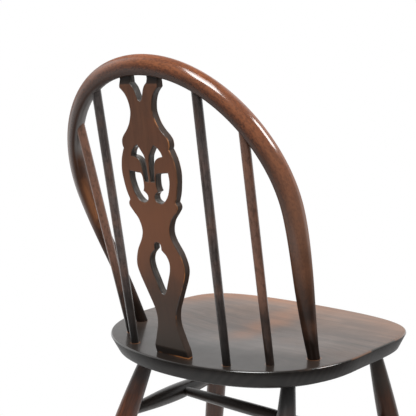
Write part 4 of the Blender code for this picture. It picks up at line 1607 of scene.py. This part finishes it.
@dataclass
class Studio:
    """A pale floor, soft lamps and a white surround."""

    white: Colour = (1.0, 1.0, 1.0)
    sky: float = 1.02
    ground: float = 0.15
    sky_run: Pair = (-0.6, 0.9)
    backdrop: float = 1.0
    room: float = 0.12
    ahead: Pair = (0.667, -0.745)
    ahead_run: Pair = (-0.1, 0.6)
    floor_colour: Colour = (0.82, 0.82, 0.82)
    floor_run: Pair = (0.40, 0.70)
    floor_sides: int = 96
    lamps: tuple[SoftBox, ...] = (
        SoftBox("key_box", position=(-0.292, 1.085, 2.16), target=(-0.12, 0.20, 0.80), width=0.75, length=1.2,
                power=26.0),
        SoftBox("side_box", position=(-1.53, -0.54, 1.90), target=(-0.19, 0.17, 0.76), width=0.8, length=0.7,
                power=15.0),
    )

    def build_floor(self) -> None:
        """Lays the floor, which fades into the white surround."""
        work = bmesh.new()
        bmesh.ops.create_circle(work, cap_ends=True, radius=self.floor_run[1], segments=self.floor_sides)
        mesh = bpy.data.meshes.new("studio_floor")
        work.to_mesh(mesh)
        work.free()
        paint = bpy.data.materials.new("floor_paint")
        nodes = NodeBuilder.of(paint)
        spot = nodes.node("ShaderNodeTexCoord", {}, {}, "Object")
        fade = nodes.distance(spot, (0.0, 0.0, 0.0)).between(self.floor_run)
        matt = nodes.node("ShaderNodeBsdfDiffuse", {}, {"Color": self.floor_colour})
        clear = nodes.node("ShaderNodeBsdfTransparent")
        surface = nodes.node("ShaderNodeMixShader", {}, {"Fac": fade, 1: matt, 2: clear})
        nodes.node("ShaderNodeOutputMaterial", {}, {"Surface": surface})
        mesh.materials.append(paint)
        floor = new_object("studio_floor", mesh)

    def build_surround(self) -> None:
        """White to the camera; for the light, a bright sky and backdrop and a dim room behind the camera."""
        world = bpy.data.worlds.new("studio_surround")
        bpy.context.scene.world = world
        nodes = NodeBuilder.of(world)
        x, y, z = nodes.parts(nodes.node("ShaderNodeTexCoord", {}, {}, "Generated"))
        camera, glossy, through = (nodes.node("ShaderNodeLightPath", {}, {}, "Is %s Ray" % kind)
                                   for kind in ("Camera", "Glossy", "Transmission"))
        ahead = (x * self.ahead[0] + y * self.ahead[1]).between(self.ahead_run)
        dome = z.between(self.sky_run).span(self.ground, self.sky)
        light = glossy.span(dome, ahead.span(self.room, self.backdrop))
        strength = camera.most(through).span(light, 1.0)
        glow = nodes.node("ShaderNodeBackground", {}, {"Color": self.white, "Strength": strength})
        nodes.node("ShaderNodeOutputWorld", {}, {"Surface": glow})

    def build(self) -> None:
        """Sets up the floor, the surround and the lamps."""
        self.build_floor()
        self.build_surround()
        for lamp in self.lamps:
            lamp.build()
        bpy.context.scene.view_settings.view_transform = "Standard"


def seat_finish(seat: SeatPlank, bow: Bow, spindles: SpindleSet, ring_gap: float = 0.0006) -> SeatWood:
    """The seat's wood, with a rubbed ring round each bow foot and spindle foot.

    Args:
        seat: the plank.
        bow: the bow.
        spindles: the spindles.
        ring_gap: how far a ring lies outside its foot.

    Returns:
        The finish.
    """
    feet = [(seat.on_top(hand.value * bow.foot(), 0.0), bow.foot_radius) for hand in Hand]
    feet += [(foot, spindles.shape.foot_radius) for foot in spindles.feet()]
    return replace(SEAT_WOOD, sockets=tuple((tuple(foot), radius + ring_gap) for foot, radius in feet))


def main() -> None:
    """Builds the chair's pieces in order, then the studio and the camera."""
    logging.basicConfig(level=logging.INFO, format="%(name)s: %(message)s")
    seat = SeatPlank()
    bow = Bow(seat)
    spindles = SpindleSet()
    seat.build(seat_finish(seat, bow, spindles))
    bow.build(BOW_WOOD)
    bow.build_wedges(WEDGE_WOOD)
    Splat(seat, bow).build(SPLAT_WOOD)
    spindles.build(SPINDLE_WOOD)
    under = Undercarriage()
    under.build_legs(LEG_WOOD)
    under.build_stretchers(STRETCHER_WOOD)
    Studio().build()
    PhotoCamera().build()


if __name__ == "__main__":
    main()
